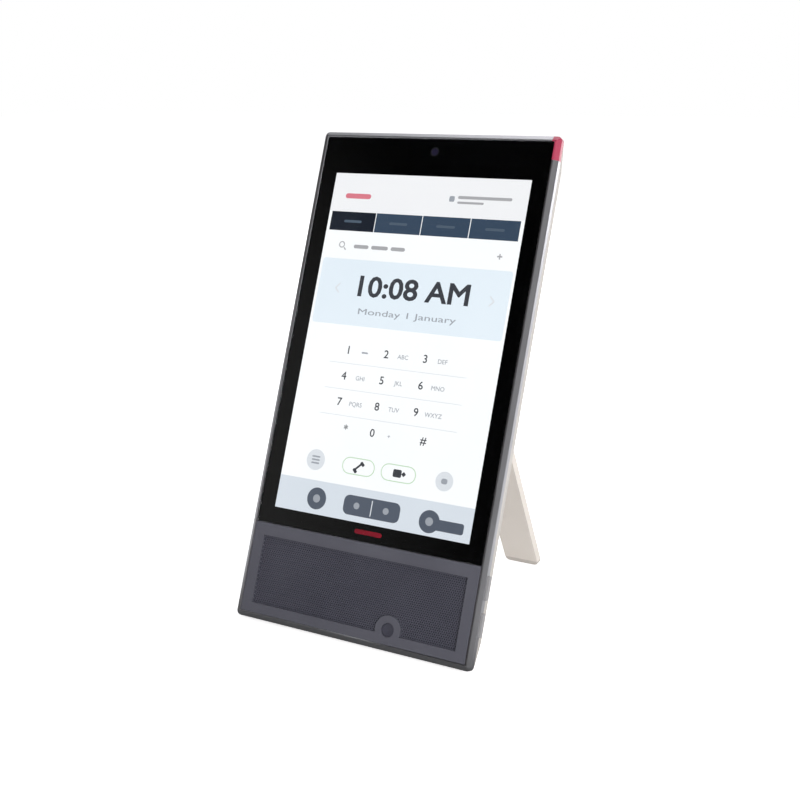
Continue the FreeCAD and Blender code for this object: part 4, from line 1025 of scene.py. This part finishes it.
select_parts(screw, "EDGE", lambda edge: all(end.co.z > -TOP_SLACK * MM for end in edge.verts))
bpy.ops.mesh.bevel(offset=HEAD_ROUND * MM, segments=3, affect="EDGES")
bpy.ops.object.mode_set(mode="OBJECT")
bpy.ops.mesh.primitive_cylinder_add(vertices=6, radius=SOCKET_RADIUS * MM, depth=2 * SOCKET_DEPTH * MM)
key = bpy.context.object
pick(screw)
socket = screw.modifiers.new("socket", "BOOLEAN")
socket.operation = "DIFFERENCE"
socket.object = key
bpy.ops.object.modifier_apply(modifier=socket.name)
bpy.data.objects.remove(key)
shade(screw)
print("screw", round(shank_length + HEAD_HEIGHT, 1), "mm long,", len(screw.data.polygons), "faces")

# %% Four screws
BACK_TURN = Matrix((across, -upward, inward)).transposed().to_euler()
screw_points = [vertex.co - screen_middle for vertex in nodes["cover_screws"].data.vertices]
screws = []
for side in (-1, 1):
    for end in (-1, 1):
        corner = [point for point in screw_points
                  if point.dot(across) * side > 0 and point.dot(upward) * end > 0]
        x, y = [(min(steps) + max(steps)) / 2 / MM for steps in
                ([point.dot(across) for point in corner], [point.dot(upward) for point in corner])]
        top = max(point.dot(inward) for point in corner) / MM
        pick(screw)
        bpy.ops.object.duplicate()
        turned = bpy.context.object
        turned.location = on_face(x, y, -top)
        turned.rotation_euler = BACK_TURN
        apply_place(turned)
        screws.append(turned)
bpy.data.objects.remove(screw)
heads = dress(gather(screws), "cover_screws_socketed", finishes["screw_steel"])
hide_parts("cover_screws")
print(len(screws), "screws")

# %% [markdown]
# ## Contacts in the sockets
# Each network socket has eight springy gold wires along its front wall, and the small data port has gold
# strips on its tongue. A wire is a thin bar whose upper end is extruded in three short steps into a bend.

# %% Network contacts
WIRE_PITCH = 1.02
WIRE_WIDE = 0.42
WIRE_LONG = 8.0
WIRE_THICK = 0.3
WIRE_COUNT = 8
WIRE_TILT = FACE @ Matrix.Rotation(math.radians(16), 3, "X")
WIRE_DROP = 3.2
WIRE_LIFT = 2.4
WIRE_BEND = ((0, 0.6, 0.25), (0, 0.2, 0.6), (0, -0.2, 0.5))
gold = grainy("contact_gold", (226, 182, 92), (206, 160, 70), (0.2, 0.32),
              grain_mm=0.1, depth_mm=0.002, Metallic=1.0)
wires = []
for jack in ("lan_jack", "pc_jack"):
    jack_x, jack_y, jack_out = face_place(jack)
    for number in range(WIRE_COUNT):
        deselect()
        x = jack_x + (number - (WIRE_COUNT - 1) / 2) * WIRE_PITCH
        bpy.ops.mesh.primitive_cube_add(size=1, rotation=WIRE_TILT.to_euler(),
                                        location=on_face(x, jack_y - WIRE_DROP, jack_out + WIRE_LIFT),
                                        scale=(WIRE_WIDE * MM, WIRE_LONG * MM, WIRE_THICK * MM))
        wire = bpy.context.object
        bpy.ops.object.transform_apply(location=False, rotation=False, scale=True)
        bpy.ops.object.mode_set(mode="EDIT")
        select_parts(wire, "FACE", lambda face: face.normal.y > FACING)
        for step in WIRE_BEND:
            move = WIRE_TILT @ (Vector(step) * MM)
            bpy.ops.mesh.extrude_region_move(TRANSFORM_OT_translate={"value": move})
        bpy.ops.object.mode_set(mode="OBJECT")
        apply_place(wire)
        wires.append(wire)
dress(gather(wires), "network_contacts", gold)
print(len(wires), "contacts")

# %% Port strips
STRIP_COUNT = 6
STRIP_PITCH = 0.9
STRIP_LONG = 3.2
STRIP_WIDE = 0.4
STRIP_CORNER = 0.1
STRIP_THICK = 0.04
STRIP_SHIFT = 0.6
TONGUE_HALF = 0.36
port_x, port_y, port_out = face_place("usb_port")
strips = []
for side in (-1, 1):
    for number in range(STRIP_COUNT):
        y = port_y + (number - (STRIP_COUNT - 1) / 2) * STRIP_PITCH
        strips.append(plate(port_x - STRIP_SHIFT, y, STRIP_LONG, STRIP_WIDE, STRIP_CORNER,
                            port_out + side * TONGUE_HALF, STRIP_THICK, steps=2))
dress(gather(strips), "port_contacts", gold)
print(len(strips), "strips")
